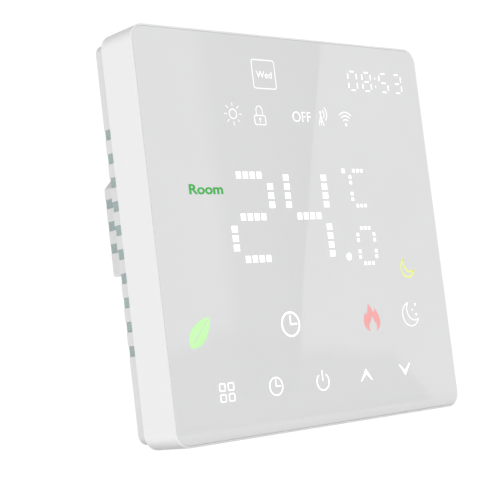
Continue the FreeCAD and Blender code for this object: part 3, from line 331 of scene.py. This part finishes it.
FINISHES = {
    "shell_white": moulded("shell_satin", (0.835, 0.835, 0.838), 0.34,
                           grain=3000.0, depth=0.000006, mottle=0.012),
    "base_white": moulded("base_satin", (0.728, 0.727, 0.732), 0.42, grain=2400.0),
    "cover_white": moulded("cover_satin", (0.76, 0.76, 0.745), 0.46),
    "guide_white": moulded("guide_smooth", (0.85, 0.85, 0.85), 0.40),
    "diffuser_film": moulded("film_milky", (0.88, 0.88, 0.88), 0.55, grain=5000.0, depth=0.000004),
    "lamp": moulded("lamp_lens", (0.92, 0.90, 0.74), 0.22, grain=4000.0, depth=0.000003),
    "chip_black": moulded("chip_mould", (0.022, 0.022, 0.024), 0.45),
    "connector_black": moulded("connector_mould", (0.018, 0.018, 0.018), 0.38),
    "bead_glass": moulded("bead_coat", (0.20, 0.06, 0.02), 0.18),
    "terminal_grey": moulded("terminal_mould", (0.50, 0.51, 0.515), 0.44,
                             grain=2200.0, depth=0.000015, mottle=0.05),
    "relay_plastic": moulded("relay_case", (0.014, 0.022, 0.045), 0.25),
    "bobbin_nylon": moulded("bobbin_mould", (0.72, 0.68, 0.56), 0.42),
    "fuse_body": moulded("fuse_case", (0.26, 0.085, 0.03), 0.40),
    "ferrite": moulded("ferrite_core", (0.045, 0.045, 0.05), 0.55,
                       grain=1500.0, depth=0.00003, mottle=0.2),
    "capacitor_sleeve": moulded("shrink_sleeve", (0.018, 0.024, 0.06), 0.22),
    "capacitor_yellow": moulded("yellow_case", (0.72, 0.42, 0.03), 0.26),
    "varistor_blue": moulded("epoxy_coat", (0.025, 0.09, 0.36), 0.24, grain=900.0, depth=0.00004),
    "board_white": circuit("white_mask", (0.80, 0.81, 0.79), (0.86, 0.87, 0.85)),
    "board_green": circuit("green_mask", (0.012, 0.13, 0.05), (0.03, 0.22, 0.09)),
    "spring_steel": steel("bright_spring", (0.62, 0.62, 0.60), 0.26),
    "tinned_steel": steel("tinned_can", (0.68, 0.68, 0.65), 0.30),
    "screw_steel": steel("screw_plating", (0.62, 0.62, 0.60), 0.30, stretch=(1, 1, 1)),
    "zinc_plate": steel("zinc_sheet", (0.56, 0.57, 0.585), 0.34, stretch=(14, 1, 1), spangle=0.16),
    "pin_brass": steel("plated_pins", (0.76, 0.58, 0.26), 0.24),
    "relay_iron": steel("plated_iron", (0.50, 0.50, 0.50), 0.36),
    "contact_copper": steel("copper_leaf", (0.74, 0.38, 0.18), 0.30),
    "cage_steel": steel("cage_plating", (0.56, 0.56, 0.53), 0.34),
    "coil_copper": copper_wire(),
    "winding_tape": tape(),
    "panel_acrylic": acrylic(),
}

for node in NODES.values():
    for index, old in enumerate(node.data.materials):
        node.data.materials[index] = FINISHES[old.name].material


# ---- Flat shapes on the face ------------------------------------------------------------------
def arc(x, z, radius, start, end, steps=24):
    """Points of a circle's arc, angles in degrees from +X towards +Z."""
    turn = [math.radians(start + (end - start) * k / steps) for k in range(steps + 1)]
    return [(x + radius * math.cos(a), z + radius * math.sin(a)) for a in turn]


def circle(x, z, radius, steps=36):
    """A closed outline."""
    return arc(x, z, radius, 0, 360, steps)[:-1]


def round_box(x, z, half_width, half_height, radius, steps=5):
    """Outline of a box with rounded corners."""
    points = []
    for sx, sz, start in ((1, 1, 0), (-1, 1, 90), (-1, -1, 180), (1, -1, 270)):
        middle = (x + sx * (half_width - radius), z + sz * (half_height - radius))
        points += arc(*middle, radius, start, start + 90, steps)
    return points


def side_points(points, offset, closed):
    """Points moved sideways from a line by offset, mitred at its corners."""
    count = len(points)
    moved = []
    for k in range(count):
        here = Vector(points[k])
        before = Vector(points[k - 1]) if closed or k > 0 else None
        after = Vector(points[(k + 1) % count]) if closed or k < count - 1 else None
        ways = [(here - before).normalized()] if before is not None else []
        if after is not None:
            ways.append((after - here).normalized())
        normals = [Vector((-way.y, way.x)) for way in ways]
        mitre = sum(normals, Vector((0, 0))).normalized()
        stretch = 1 / max(SHARPEST_MITRE, mitre.dot(normals[0]))
        moved.append(tuple(here + mitre * offset * stretch))
    return moved


class Shapes:
    """Collects thin plates that lie on the face, as one mesh."""

    def __init__(self):
        self.points = []
        self.faces = []

    def band(self, left, right, closed):
        """Plate between two lines with as many points each."""
        count = len(left)
        start = len(self.points)
        for line in (left, right):
            for depth in (0.0, SYMBOL_DEPTH):
                self.points += [(x, depth, z) for x, z in line]
        layers = [start + count * k for k in range(4)]
        front_left, rear_left, front_right, rear_right = layers
        quads = ((front_left, front_right), (rear_right, rear_left),
                 (rear_left, front_left), (front_right, rear_right))
        for k in range(count if closed else count - 1):
            after = (k + 1) % count
            for one, other in quads:
                self.faces.append((one + k, one + after, other + after, other + k))
        if not closed:
            self.faces.append((front_left, front_right, rear_right, rear_left))
            last = count - 1
            self.faces.append((front_left + last, rear_left + last,
                               rear_right + last, front_right + last))

    def line(self, points, width=LINE, closed=False):
        self.band(side_points(points, width / 2, closed), side_points(points, -width / 2, closed),
                  closed)

    def solid(self, points):
        """Plate with a plain outline."""
        start = len(self.points)
        count = len(points)
        for depth in (0.0, SYMBOL_DEPTH):
            self.points += [(x, depth, z) for x, z in points]
        self.faces.append(tuple(range(start, start + count)))
        self.faces.append(tuple(reversed(range(start + count, start + 2 * count))))
        for k in range(count):
            after = (k + 1) % count
            self.faces.append((start + k, start + count + k, start + count + after, start + after))

    def block(self, x, z, width, height):
        w, h = width / 2, height / 2
        self.solid([(x - w, z - h), (x + w, z - h), (x + w, z + h), (x - w, z + h)])

    def ring(self, x, z, radius, width=LINE):
        self.line(circle(x, z, radius - width / 2), width, True)

    def piece(self, name, finish):
        """The plates as a piece on the front module, their front in the plane of the CAD face."""
        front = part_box("front_panel")[0].y
        mesh = bpy.data.meshes.new(name)
        points = [(x * MM, front + y * MM, z * MM) for x, y, z in self.points]
        mesh.from_pydata(points, [], self.faces)
        return place_piece(mesh, name, finish)


def place_piece(mesh, name, finish, body="front_module"):
    """Put a mesh in the scene as a piece that rides on a body."""
    mesh.materials.clear()
    mesh.materials.append(finish.material)
    face_outwards(mesh)
    made = bpy.data.objects.new(name, mesh)
    bpy.context.scene.collection.objects.link(made)
    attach(made, body)
    return made


def face_outwards(mesh):
    shape = bmesh.new()
    shape.from_mesh(mesh)
    bmesh.ops.recalc_face_normals(shape, faces=shape.faces)
    shape.to_mesh(mesh)
    shape.free()


def word(text, at, size, name, finish, bold):
    """A plain word in the built-in letters, fitted to a box given by its left lower corner."""
    curve = bpy.data.curves.new(name, "FONT")
    curve.body = text
    curve.resolution_u = 6
    curve.offset = bold
    curve.extrude = 0.05
    source = bpy.data.objects.new(name + "_source", curve)
    bpy.context.scene.collection.objects.link(source)
    bpy.context.view_layer.update()
    solved = source.evaluated_get(bpy.context.evaluated_depsgraph_get())
    mesh = bpy.data.meshes.new_from_object(solved)
    bpy.data.objects.remove(source)
    low = Vector(map(min, *[v.co for v in mesh.vertices]))
    high = Vector(map(max, *[v.co for v in mesh.vertices]))
    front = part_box("front_panel")[0].y
    for vertex in mesh.vertices:
        u = (vertex.co.x - low.x) / (high.x - low.x)
        v = (vertex.co.y - low.y) / (high.y - low.y)
        depth = (high.z - vertex.co.z) / (high.z - low.z) * SYMBOL_DEPTH
        vertex.co = ((at[0] + u * size[0]) * MM, front + depth * MM, (at[1] + v * size[1]) * MM)
    return place_piece(mesh, name, finish)


# ---- Front panel ------------------------------------------------------------------------------
def rim_loop(half_width, half_height, inset, y):
    """The panel's outline at one depth, set in by inset."""
    loop = round_box(0, 0, half_width - inset, half_height - inset, PANEL_CORNER - inset,
                     CORNER_STEPS)
    return [(x, y, z) for x, z in loop]


def face_panel():
    """Acrylic panel with a polished round front edge."""
    low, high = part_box("front_panel")
    half_width, half_height = high.x / MM + PANEL_SPREAD, high.z / MM + PANEL_SPREAD
    front, rear = low.y / MM + FACE_SINK, high.y / MM
    steps = [(PANEL_EDGE * (1 - math.sin(a)), front + PANEL_EDGE * (1 - math.cos(a)))
             for a in (math.pi / 2 * k / EDGE_STEPS for k in range(EDGE_STEPS + 1))]
    loops = [rim_loop(half_width, half_height, inset, y) for inset, y in steps]
    loops.append(rim_loop(half_width, half_height, 0.0, rear))
    count = len(loops[0])
    points = [p for loop in loops for p in loop]
    faces = [tuple(range(count)), tuple(range((len(loops) - 1) * count, len(loops) * count))]
    for k in range(len(loops) - 1):
        for m in range(count):
            after = (m + 1) % count
            faces.append((k * count + m, k * count + after,
                          (k + 1) * count + after, (k + 1) * count + m))
    mesh = bpy.data.meshes.new("face_panel")
    mesh.from_pydata([(x * MM, y * MM, z * MM) for x, y, z in points], [], faces)
    panel = place_piece(mesh, "face_panel", FINISHES["panel_acrylic"])
    for polygon in panel.data.polygons[2:]:
        polygon.use_smooth = True
    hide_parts("front_panel")


face_panel()

# ---- Lit symbols ------------------------------------------------------------------------------
WHITE = lit("lit_white", (0.9, 0.9, 0.9), (1.0, 1.0, 1.0), 0.5)
FAINT = lit("lit_faint", (0.85, 0.85, 0.85), (1.0, 1.0, 1.0), 0.3)
GREEN = lit("lit_green", (0.035, 0.32, 0.055), (0.01, 0.40, 0.03), 0.3)
LEAF_GREEN = lit("lit_leaf", (0.46, 0.80, 0.36), (0.35, 0.55, 0.28), 0.35)
RED = lit("lit_red", (0.76, 0.34, 0.335), (0.50, 0.18, 0.18), 0.35)
YELLOW = lit("lit_yellow", (0.72, 0.75, 0.22), (0.45, 0.48, 0.10), 0.4)

# Block digits of the room temperature
ROW_BLOCK = (1.42, 1.5)         # width and height
ROW_PITCH = 1.953
ROW_CELLS = 4
COLUMN_BLOCK = (1.66, 1.4)
COLUMN_PITCH = 1.985
ROW_RISE = 8.98                 # middle row to the top or bottom row
ROW_MIDDLE = 2.89
UPPER_CELL = 11.41
LOWER_CELL = 0.38
COLUMN_REACH = 5.77
SMALL_BLOCK = (0.82, 0.78)
SMALL_PITCH = 1.28
SMALL_ROW = 4.035
SMALL_CELLS = 3
SMALL_REACH = 2.66
TENS_X = -15.53
ONES_X = 0.97
UNIT_AT = (17.98, 9.08)
TENTHS_AT = (18.17, -4.15)
DEGREE_AT = (13.31, 13.03)
DEGREE_SIZE = 1.0
POINT_AT = (11.81, -6.5)
POINT_RADIUS = 0.85


def cell_row(shapes, x, z, count, pitch, size):
    """A row of blocks about its middle."""
    for k in range(count):
        shapes.block(x + (k - (count - 1) / 2) * pitch, z, *size)


def big_digit(shapes, x, rows, columns):
    """Rows are -1, 0 and 1 for bottom, middle and top; a column is side, top cell, cells."""
    for row in rows:
        cell_row(shapes, x, ROW_MIDDLE + row * ROW_RISE, ROW_CELLS, ROW_PITCH, ROW_BLOCK)
    for side, top, cells in columns:
        for k in cells:
            shapes.block(x + side * COLUMN_REACH, top - k * COLUMN_PITCH, *COLUMN_BLOCK)


def small_mark(shapes, at, sides):
    """Small mark of blocks, closed on the given sides."""
    for way in (-1, 1):
        cell_row(shapes, at[0], at[1] + way * SMALL_ROW, SMALL_CELLS, SMALL_PITCH, SMALL_BLOCK)
        for side in sides:
            for step in (1, 2):
                shapes.block(at[0] + side * SMALL_REACH, at[1] + way * step * SMALL_PITCH,
                             *SMALL_BLOCK)


digits = Shapes()
big_digit(digits, TENS_X, (-1, 0, 1), ((1, UPPER_CELL, range(1, 4)), (-1, LOWER_CELL, range(3))))
big_digit(digits, ONES_X, (0,), ((-1, UPPER_CELL, range(4)), (1, UPPER_CELL, range(4)),
                                 (1, LOWER_CELL, range(4))))
small_mark(digits, UNIT_AT, (-1,))
small_mark(digits, TENTHS_AT, (-1, 1))
digits.block(*DEGREE_AT, DEGREE_SIZE, DEGREE_SIZE)
digits.solid(circle(*POINT_AT, POINT_RADIUS))
digits.piece("temperature_digits", WHITE)

# Clock of single dashes
DASH = 0.31
DASH_WIDE = 1.4
DASH_TALL = 1.25
CLOCK_Z = 34.18
CLOCK_RISE = 2.2
CLOCK_REACH = 1.42
CLOCK_DIGITS = (("0", 20.2), ("8", 24.9), ("5", 30.7), ("3", 35.4))
COLON_X = 27.8
COLON_RISE = 0.95
COLON_BLOCK = (0.34, 0.36)
SEGMENTS = {"0": "abcdef", "3": "abcdg", "5": "acdfg", "8": "abcdefg"}
SEGMENT_AT = {"a": (0, 1), "g": (0, 0), "d": (0, -1),
              "b": (1, 0.5), "c": (1, -0.5), "f": (-1, 0.5), "e": (-1, -0.5)}

clock = Shapes()
for digit, x in CLOCK_DIGITS:
    for segment in SEGMENTS[digit]:
        across, up = SEGMENT_AT[segment]
        size = (DASH_WIDE, DASH) if across == 0 else (DASH, DASH_TALL)
        clock.block(x + across * CLOCK_REACH, CLOCK_Z + up * CLOCK_RISE, *size)
for up in (-1, 1):
    clock.block(COLON_X, CLOCK_Z + up * COLON_RISE, *COLON_BLOCK)
clock.piece("clock_digits", WHITE)

# Status symbols
DAY_BOX_AT = (-7.62, 34.17)
DAY_BOX_HALF = (3.32, 3.17)
DAY_BOX_CORNER = 0.55
DAY_BOX_LINE = 0.24
SUN_AT = (-17.95, 25.05)
SUN_RADIUS = 1.15
SUN_RAYS = 8
SUN_RAY_ENDS = (1.7, 2.5)       # from the sun's centre
LOCK_AT = (-10.3, 23.95)        # middle of the lock's body
LOCK_HALF = (1.6, 1.0)
LOCK_CORNER = 0.4
BOW_RADIUS = 0.9
BOW_LINE = 0.22
BOW_FOOT, BOW_CENTRE = 1.1, 2.2     # above the body's middle
KEYHOLE_RADIUS = 0.28
KEYHOLE_RISE = 0.25
KEYHOLE_SLOT = (0.22, 0.6)
KEYHOLE_SLOT_DROP = 0.2
MAST_AT = (8.3, 23.3)           # foot of the mast
MAST_HEIGHT = 2.8
MAST_LEGS = (0.8, 2.6)          # half spread at the foot, and height of their top
MAST_BAR = (0.58, 0.9, 0.18)    # half length, height and line of its cross bar
MAST_LAMP = (3.0, 0.36)         # height and radius
MAST_WAVES = (1.15, 2.0)
MAST_WAVES_RISE = 2.7
MAST_WAVE_LINE = 0.24
MAST_WAVES_REACH = 48           # degrees either side
FAN_AT = (16.2, 23.75)
FAN_DOT = 0.36
FAN_WAVES = (1.2, 2.05, 2.9)
FAN_REACH = (47, 133)           # degrees
FAN_LINE = 0.26
THIN_LINE = 0.2


def sun(shapes, x, z):
    shapes.ring(x, z, SUN_RADIUS)
    for k in range(SUN_RAYS):
        a = 2 * math.pi * k / SUN_RAYS
        shapes.line([(x + r * math.cos(a), z + r * math.sin(a)) for r in SUN_RAY_ENDS], THIN_LINE)


def padlock(shapes, x, z):
    shapes.line(round_box(x, z, *LOCK_HALF, LOCK_CORNER), LINE, True)
    bow = arc(x, z + BOW_CENTRE, BOW_RADIUS, 180, 0, 14)
    foot = z + BOW_FOOT
    shapes.line([(x - BOW_RADIUS, foot)] + bow + [(x + BOW_RADIUS, foot)], BOW_LINE)
    shapes.solid(circle(x, z + KEYHOLE_RISE, KEYHOLE_RADIUS, 16))
    shapes.block(x, z - KEYHOLE_SLOT_DROP, *KEYHOLE_SLOT)


def radio_mast(shapes, x, z):
    """Generic sign for a short-range radio link."""
    shapes.line([(x, z), (x, z + MAST_HEIGHT)], THIN_LINE)
    spread, top = MAST_LEGS
    shapes.line([(x - spread, z), (x, z + top), (x + spread, z)], THIN_LINE)
    reach, rise, width = MAST_BAR
    shapes.line([(x - reach, z + rise), (x + reach, z + rise)], width)
    shapes.solid(circle(x, z + MAST_LAMP[0], MAST_LAMP[1], 18))
    for radius in MAST_WAVES:
        shapes.line(arc(x, z + MAST_WAVES_RISE, radius, -MAST_WAVES_REACH, MAST_WAVES_REACH, 12),
                    MAST_WAVE_LINE)


def signal_fan(shapes, x, z):
    shapes.solid(circle(x, z, FAN_DOT, 18))
    for radius in FAN_WAVES:
        shapes.line(arc(x, z, radius, *FAN_REACH, 14), FAN_LINE)


signs = Shapes()
signs.line(round_box(*DAY_BOX_AT, *DAY_BOX_HALF, DAY_BOX_CORNER), DAY_BOX_LINE, True)
sun(signs, *SUN_AT)
padlock(signs, *LOCK_AT)
radio_mast(signs, *MAST_AT)
signal_fan(signs, *FAN_AT)
signs.piece("status_signs", FAINT)
word("Wed", (-9.85, 33.35), (4.5, 1.5), "day_word", WHITE, bold=-0.012)
word("OFF", (-0.45, 23.95), (5.6, 2.3), "off_word", WHITE, bold=-0.015)
word("Room", (-32.4, 7.75), (9.15, 2.15), "room_word", GREEN, bold=0.028)


# Mode symbols
TIMER_AT = (-8.6, -20.4)
TIMER_RADIUS = 2.75
TIMER_LINE = 0.42
CLOCK_HANDS = (0.72, 0.68)      # shares of the radius, the minute hand first
HAND_LINE = 0.9                 # share of the ring's width
SLEEP_AT = (29.8, -20.55)
SLEEP_MOON = (2.75, 38, 1.7, 2.5)   # radius, angle of the bite in degrees, its shift and radius
SLEEP_LINE = 0.17
STARS = ((31.7, -18.4, 0.28), (30.5, -19.6, 0.2), (31.7, -20.7, 0.28))
NIGHT_AT = (30.7, -9.7)
NIGHT_MOON = (2.2, 50, 1.5, 2.15)
NIGHT_LINE = 0.44


def crescent(x, z, radius, towards, shift, inner, steps=22):
    """Moon outline: a circle less a smaller one that is shifted towards an angle."""
    way = math.radians(towards)
    cx, cz = x + shift * math.cos(way), z + shift * math.sin(way)
    along = (shift ** 2 + radius ** 2 - inner ** 2) / (2 * shift)
    half = math.degrees(math.acos(along / radius))
    inner_half = math.degrees(math.acos((along - shift) / inner))
    outside = arc(x, z, radius, towards + half, towards + 360 - half, 2 * steps)
    inside = arc(cx, cz, inner, towards + 360 - inner_half, towards + inner_half, steps)
    return outside + inside[1:-1]


def clock_sign(shapes, x, z, radius, width):
    """Clock face at three o'clock."""
    shapes.ring(x, z, radius, width)
    minute, hour = (radius * share for share in CLOCK_HANDS)
    shapes.line([(x, z + minute), (x, z), (x + hour, z)], width * HAND_LINE)


modes = Shapes()
clock_sign(modes, *TIMER_AT, TIMER_RADIUS, TIMER_LINE)
modes.line(crescent(*SLEEP_AT, *SLEEP_MOON), SLEEP_LINE, True)
for star in STARS:
    modes.solid(circle(*star, 14))
modes.piece("mode_signs", WHITE)

moon = Shapes()
moon.line(crescent(*NIGHT_AT, *NIGHT_MOON), NIGHT_LINE, True)
moon.piece("night_sign", YELLOW)

LEAF_BASE = Vector((-36.65, -23.35))
LEAF_TIP = Vector((-30.85, -17.4))
LEAF_WIDTH = 2.0
LEAF_SKEW = 0.78                # under one, widest nearer its base
LEAF_FULLNESS = 0.8             # under one, fuller towards its ends
LEAF_STEPS = 18
VEIN = 0.24
VEIN_START = 0.16               # share of the leaf's length from its base


def leaf_half(side):
    """Half of a pointed leaf, beside its vein."""
    along = LEAF_TIP - LEAF_BASE
    across = Vector((-along.y, along.x)).normalized() * side
    outer = []
    for k in range(1, LEAF_STEPS):
        swell = math.sin(math.pi * (k / LEAF_STEPS) ** LEAF_SKEW) ** LEAF_FULLNESS
        outer.append(LEAF_BASE + along * k / LEAF_STEPS + across * LEAF_WIDTH * swell)
    start = LEAF_BASE + along * VEIN_START
    vein = [LEAF_TIP + across * VEIN / 3, start + across * VEIN / 2, start]
    return [tuple(p) for p in [LEAF_BASE] + outer + vein]


leaf = Shapes()
for side in (-1, 1):
    leaf.solid(leaf_half(side))
leaf.piece("leaf_sign", LEAF_GREEN)

# The flame's outline about its centre, from the tip down its right side and back up its left
FLAME_AT = (16.6, -20.45)
FLAME_SCALE = 0.94
FLAME = ((-0.8, 3.35), (-0.2, 2.7), (0.35, 1.9), (0.65, 1.0), (1.15, 1.5), (1.35, 2.2),
         (1.95, 1.3), (2.45, 0.3), (2.85, -1.0), (2.65, -2.1), (2.0, -2.9), (1.2, -3.35),
         (1.55, -2.5), (1.3, -1.6), (0.75, -0.8), (0.1, 0.3), (-0.3, -0.7), (-0.95, -1.5),
         (-1.2, -2.4), (-0.9, -3.35), (-1.9, -2.9), (-2.7, -2.0), (-2.9, -0.9), (-2.6, 0.3),
         (-2.1, 1.4), (-1.75, 0.6), (-1.3, 1.3), (-1.0, 2.3))
flame = Shapes()
flame.solid([(FLAME_AT[0] + x * FLAME_SCALE, FLAME_AT[1] + z * FLAME_SCALE) for x, z in FLAME])
flame.piece("flame_sign", RED)

# Touch keys
MENU_AT = (-28.5, -33.05)
MENU_SQUARE = 1.72
MENU_PITCH = (2.32, 2.2)
MENU_CORNER = 0.28
TIME_AT = (-14.9, -33.1)
TIME_RADIUS = 2.0
KEY_LINE = 0.3
POWER_AT = (-1.1, -33.4)
POWER_RADIUS = 1.82
POWER_RING = (125, 415)         # degrees, open at the top
POWER_BAR = (0.2, 2.5)          # its ends above the ring's centre
CHEVRON = ((-2.0, -1.35), (0.0, 1.35), (1.8, -1.25), (1.52, -1.3), (0.0, 0.15), (-1.72, -1.4))
CHEVRONS = ((12.6, -33.1, 1), (25.4, -33.05, -1))   # up, then down

keys = Shapes()
for sx in (-0.5, 0.5):
    for sz in (-0.5, 0.5):
        half = (MENU_SQUARE - LINE) / 2
        x, z = MENU_AT[0] + sx * MENU_PITCH[0], MENU_AT[1] + sz * MENU_PITCH[1]
        keys.line(round_box(x, z, half, half, MENU_CORNER, 3), LINE, True)
clock_sign(keys, *TIME_AT, TIME_RADIUS, KEY_LINE)
keys.line(arc(*POWER_AT, POWER_RADIUS, *POWER_RING, 36), KEY_LINE)
keys.line([(POWER_AT[0], POWER_AT[1] + rise) for rise in POWER_BAR], KEY_LINE)
for x, z, way in CHEVRONS:
    keys.solid([(x + way * u, z + way * v) for u, v in CHEVRON])
keys.piece("touch_key_signs", WHITE)


# ---- Gauze in the vents, its grey-green a painted shade for the shaded notches ----------------
class Gauze:
    """Woven gauze behind each vent, as one mesh on the wall base: a grey-green sheet that paints
    the vents' shade.
    """

    def __init__(self):
        self.points = []
        self.faces = []

    def bar(self, low, high):
        """A plain box."""
        start = len(self.points)
        self.points += [(x, y, z) for x in (low[0], high[0]) for y in (low[1], high[1])
                        for z in (low[2], high[2])]
        corners = ((0, 1, 3, 2), (4, 6, 7, 5), (0, 4, 5, 1),
                   (2, 3, 7, 6), (0, 2, 6, 4), (1, 5, 7, 3))
        self.faces += [tuple(start + k for k in face) for face in corners]

    def patch(self, axis, way, level, first, second):
        """Backing sheet and wires facing way along axis, over two ranges on the other axes."""
        others = [k for k in range(3) if k != axis]

        def span(depth_out, depth_in, a, b):
            low, high = [0, 0, 0], [0, 0, 0]
            low[axis], high[axis] = sorted((level - way * depth_out, level - way * depth_in))
            for k, ends in zip(others, (a, b)):
                low[k], high[k] = ends
            self.bar(low, high)

        span(WIRE, WIRE + GAUZE_THICKNESS, first, second)
        for ends, other, lift in ((first, second, 0.0), (second, first, WIRE / 3)):
            count = int((ends[1] - ends[0]) / WIRE_PITCH)
            margin = (ends[1] - ends[0] - (count - 1) * WIRE_PITCH) / 2
            for k in range(count):
                at = ends[0] + margin + k * WIRE_PITCH
                wire = (at - WIRE / 2, at + WIRE / 2)
                pair = (wire, other) if ends is first else (other, wire)
                span(lift, WIRE, *pair)


def vent_gauze_painted_shade():
    """Gauze in the notches of the rim's four sides and in the box's slots, whose grey-green is
    painted shade for the shaded vents.
    """
    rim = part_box("base_frame")
    half = rim[1].x / MM
    rim_front, rear = rim[0].y / MM, rim[1].y / MM
    gauze = Gauze()
    depth = (rim_front + NOTCH_BRIDGE - GAUZE_LAP, -GAUZE_LAP)
    for k in range(NOTCH_COUNT):
        place = (k - (NOTCH_COUNT - 1) / 2) * NOTCH_PITCH
        reach = (place - VENT_HEIGHT / 2 - GAUZE_LAP, place + VENT_HEIGHT / 2 + GAUZE_LAP)
        for way in (-1, 1):
            level = way * (half - GAUZE_SINK)
            gauze.patch(0, way, level, depth, reach)
            gauze.patch(2, way, level, reach, depth)
    for k in range(SLOT_COUNT):
        place = SLOT_TOP - k * SLOT_PITCH
        reach = (place - VENT_HEIGHT / 2 - GAUZE_LAP, place + VENT_HEIGHT / 2 + GAUZE_LAP)
        for way in (-1, 1):
            outer = BOX_HALF_WIDTH - GAUZE_SINK
            length = (rear - SLOT_LENGTH - GAUZE_LAP, rear - GAUZE_END)
            gauze.patch(0, way, way * outer, length, reach)
            across = sorted((way * (BOX_HALF_WIDTH - SLOT_WRAP - GAUZE_LAP),
                             way * (BOX_HALF_WIDTH - GAUZE_END)))
            gauze.patch(1, 1, rear - GAUZE_SINK, tuple(across), reach)
    mesh = bpy.data.meshes.new("vent_gauze_painted_shade")
    mesh.from_pydata([(x * MM, y * MM, z * MM) for x, y, z in gauze.points], [], gauze.faces)
    # grey-green gauze colour: painted shade where the notches and slots are in shade
    finish = moulded("gauze_tone_painted_shade", (0.50, 0.60, 0.585), 0.55,
                     grain=4000.0, depth=0.00001, mottle=0.12, edge=0.00002)
    place_piece(mesh, "vent_gauze_painted_shade", finish, body="wall_base")


vent_gauze_painted_shade()


# ---- Camera, lights and stage -----------------------------------------------------------------
def make_camera():
    forward = Vector(CAMERA_FORWARD).normalized()
    right = Vector(CAMERA_RIGHT)
    right = (right - forward * right.dot(forward)).normalized()
    up = right.cross(forward)
    camera = bpy.data.objects.new("photo_camera", bpy.data.cameras.new("photo_camera"))
    camera.data.lens = LENS_MM
    camera.data.sensor_width = SENSOR_MM
    camera.data.clip_start, camera.data.clip_end = CLIP_NEAR, CLIP_FAR
    turn = Matrix((right, up, -forward)).transposed().to_4x4()
    camera.matrix_world = Matrix.Translation(CAMERA_AT) @ turn
    bpy.context.scene.collection.objects.link(camera)
    bpy.context.scene.camera = camera


def make_light():
    """White surroundings that dim overhead, and one broad soft light."""
    world = bpy.data.worlds.new("studio")
    world.use_nodes = True
    nodes, links = world.node_tree.nodes, world.node_tree.links
    parts = nodes.new("ShaderNodeSeparateXYZ")
    links.new(nodes.new("ShaderNodeTexCoord").outputs["Generated"], parts.inputs["Vector"])
    height = nodes.new("ShaderNodeMapRange")
    height.inputs["From Min"].default_value = DIM_FROM
    height.inputs["From Max"].default_value = DIM_TO
    height.inputs["To Min"].default_value = HORIZON_LIGHT
    height.inputs["To Max"].default_value = ZENITH_LIGHT
    links.new(parts.outputs["Z"], height.inputs["Value"])
    links.new(height.outputs["Result"], nodes["Background"].inputs["Strength"])
    nodes["Background"].inputs["Color"].default_value = grey(1.0)
    bpy.context.scene.world = world
    key = bpy.data.objects.new("soft_key", bpy.data.lights.new("soft_key", "SUN"))
    key.data.energy = KEY_STRENGTH
    key.data.angle = math.radians(KEY_SPREAD)
    key.rotation_euler = Vector(KEY_FROM).to_track_quat("Z", "Y").to_euler()
    bpy.context.scene.collection.objects.link(key)


def stage_mesh(name, points, faces, material):
    """A surface that belongs to the stage, not to the object."""
    mesh = bpy.data.meshes.new(name)
    mesh.from_pydata(points, [], faces)
    mesh.materials.append(material)
    made = bpy.data.objects.new(name, mesh)
    bpy.context.scene.collection.objects.link(made)
    return made


def make_floor():
    half = FLOOR_SIZE / 2
    z = CAD_BOX[0].z - FLOOR_GAP
    corners = [(-half, -half, z), (half, -half, z), (half, half, z), (-half, half, z)]
    stage_mesh("floor", corners, [(0, 1, 2, 3)], plain_floor().material)


def card_material(name, colour):
    """Dark card whose cover fades where its shade does."""
    material = bpy.data.materials.new(name)
    material.use_nodes = True
    nodes, links = material.node_tree.nodes, material.node_tree.links
    shader = nodes["Principled BSDF"]
    shader.inputs["Base Color"].default_value = grey(0.0)
    shader.inputs["Specular IOR Level"].default_value = 0.0
    shader.inputs["Emission Color"].default_value = (*colour, 1.0)
    shader.inputs["Emission Strength"].default_value = 1.0
    shade = nodes.new("ShaderNodeAttribute")
    shade.attribute_name = "shade"
    links.new(shade.outputs["Fac"], shader.inputs["Alpha"])
    return material


def shaded_mesh(name, points, faces, shades, material):
    """A stage surface that the camera doesn't see, with a shade for each of its points."""
    made = stage_mesh(name, points, faces, material)
    made.data.attributes.new("shade", "FLOAT", "POINT").data.foreach_set("value", shades)
    made.visible_camera = False
    made.visible_shadow = False
    made.visible_transmission = False
    return made


def mirrored(x, z, distance):
    """Where a sight line to a point of the face goes on to after the panel mirrors it."""
    point = Vector((x * MM, CAD_BOX[0].y, z * MM))
    way = point - Vector(CAMERA_AT)
    way.y = -way.y
    return point + way.normalized() * distance


def make_card(name, material, lines, shades, distance):
    """Card through lines of points on the face, each line with its own shade."""
    count = len(lines[0])
    points = [mirrored(x, z, distance) for line in lines for x, z in line]
    faces = [(r * count + k, r * count + k + 1, (r + 1) * count + k + 1, (r + 1) * count + k)
             for r in range(len(lines) - 1) for k in range(count - 1)]
    shades = [shade for shade in shades for _ in range(count)]
    shaded_mesh(name, points, faces, shades, material).visible_diffuse = False


def make_cards(material):
    """The band and the shaded foot of the panel's reflection."""
    band = [list(zip(line, BAND_ROWS)) for line in BAND_LINES]
    make_card("band_card", material, band, BAND_SHADES, BAND_DISTANCE)
    foot = [[(x, z + fade) for x, z in zip(FOOT_STEPS, FOOT_TOP)] for fade in FOOT_FADE]
    foot.append([(x, FOOT_LOW) for x in FOOT_STEPS])
    make_card("foot_card", material, foot, FOOT_SHADES, FOOT_DISTANCE)


def make_flag(material):
    """Flag under the object, fading out to its edge."""
    low, high = CAD_BOX
    z = low.z - FLOOR_GAP / 2
    points, shades = [], []
    for margin, shade in ((0.0, FLAG_SHADE), (FLAG_MARGIN * MM, 0.0)):
        points += [(low.x - margin, low.y - margin, z), (high.x + margin, low.y - margin, z),
                   (high.x + margin, high.y + margin, z), (low.x - margin, high.y + margin, z)]
        shades += [shade] * 4
    faces = [(0, 1, 2, 3)] + [(k, 4 + k, 4 + (k + 1) % 4, (k + 1) % 4) for k in range(4)]
    shaded_mesh("foot_flag", points, faces, shades, material)


make_camera()
make_light()
make_floor()
make_cards(card_material("card", CARD_COLOUR))
make_flag(card_material("flag", FLAG_COLOUR))
bpy.context.scene.view_settings.view_transform = "Standard"
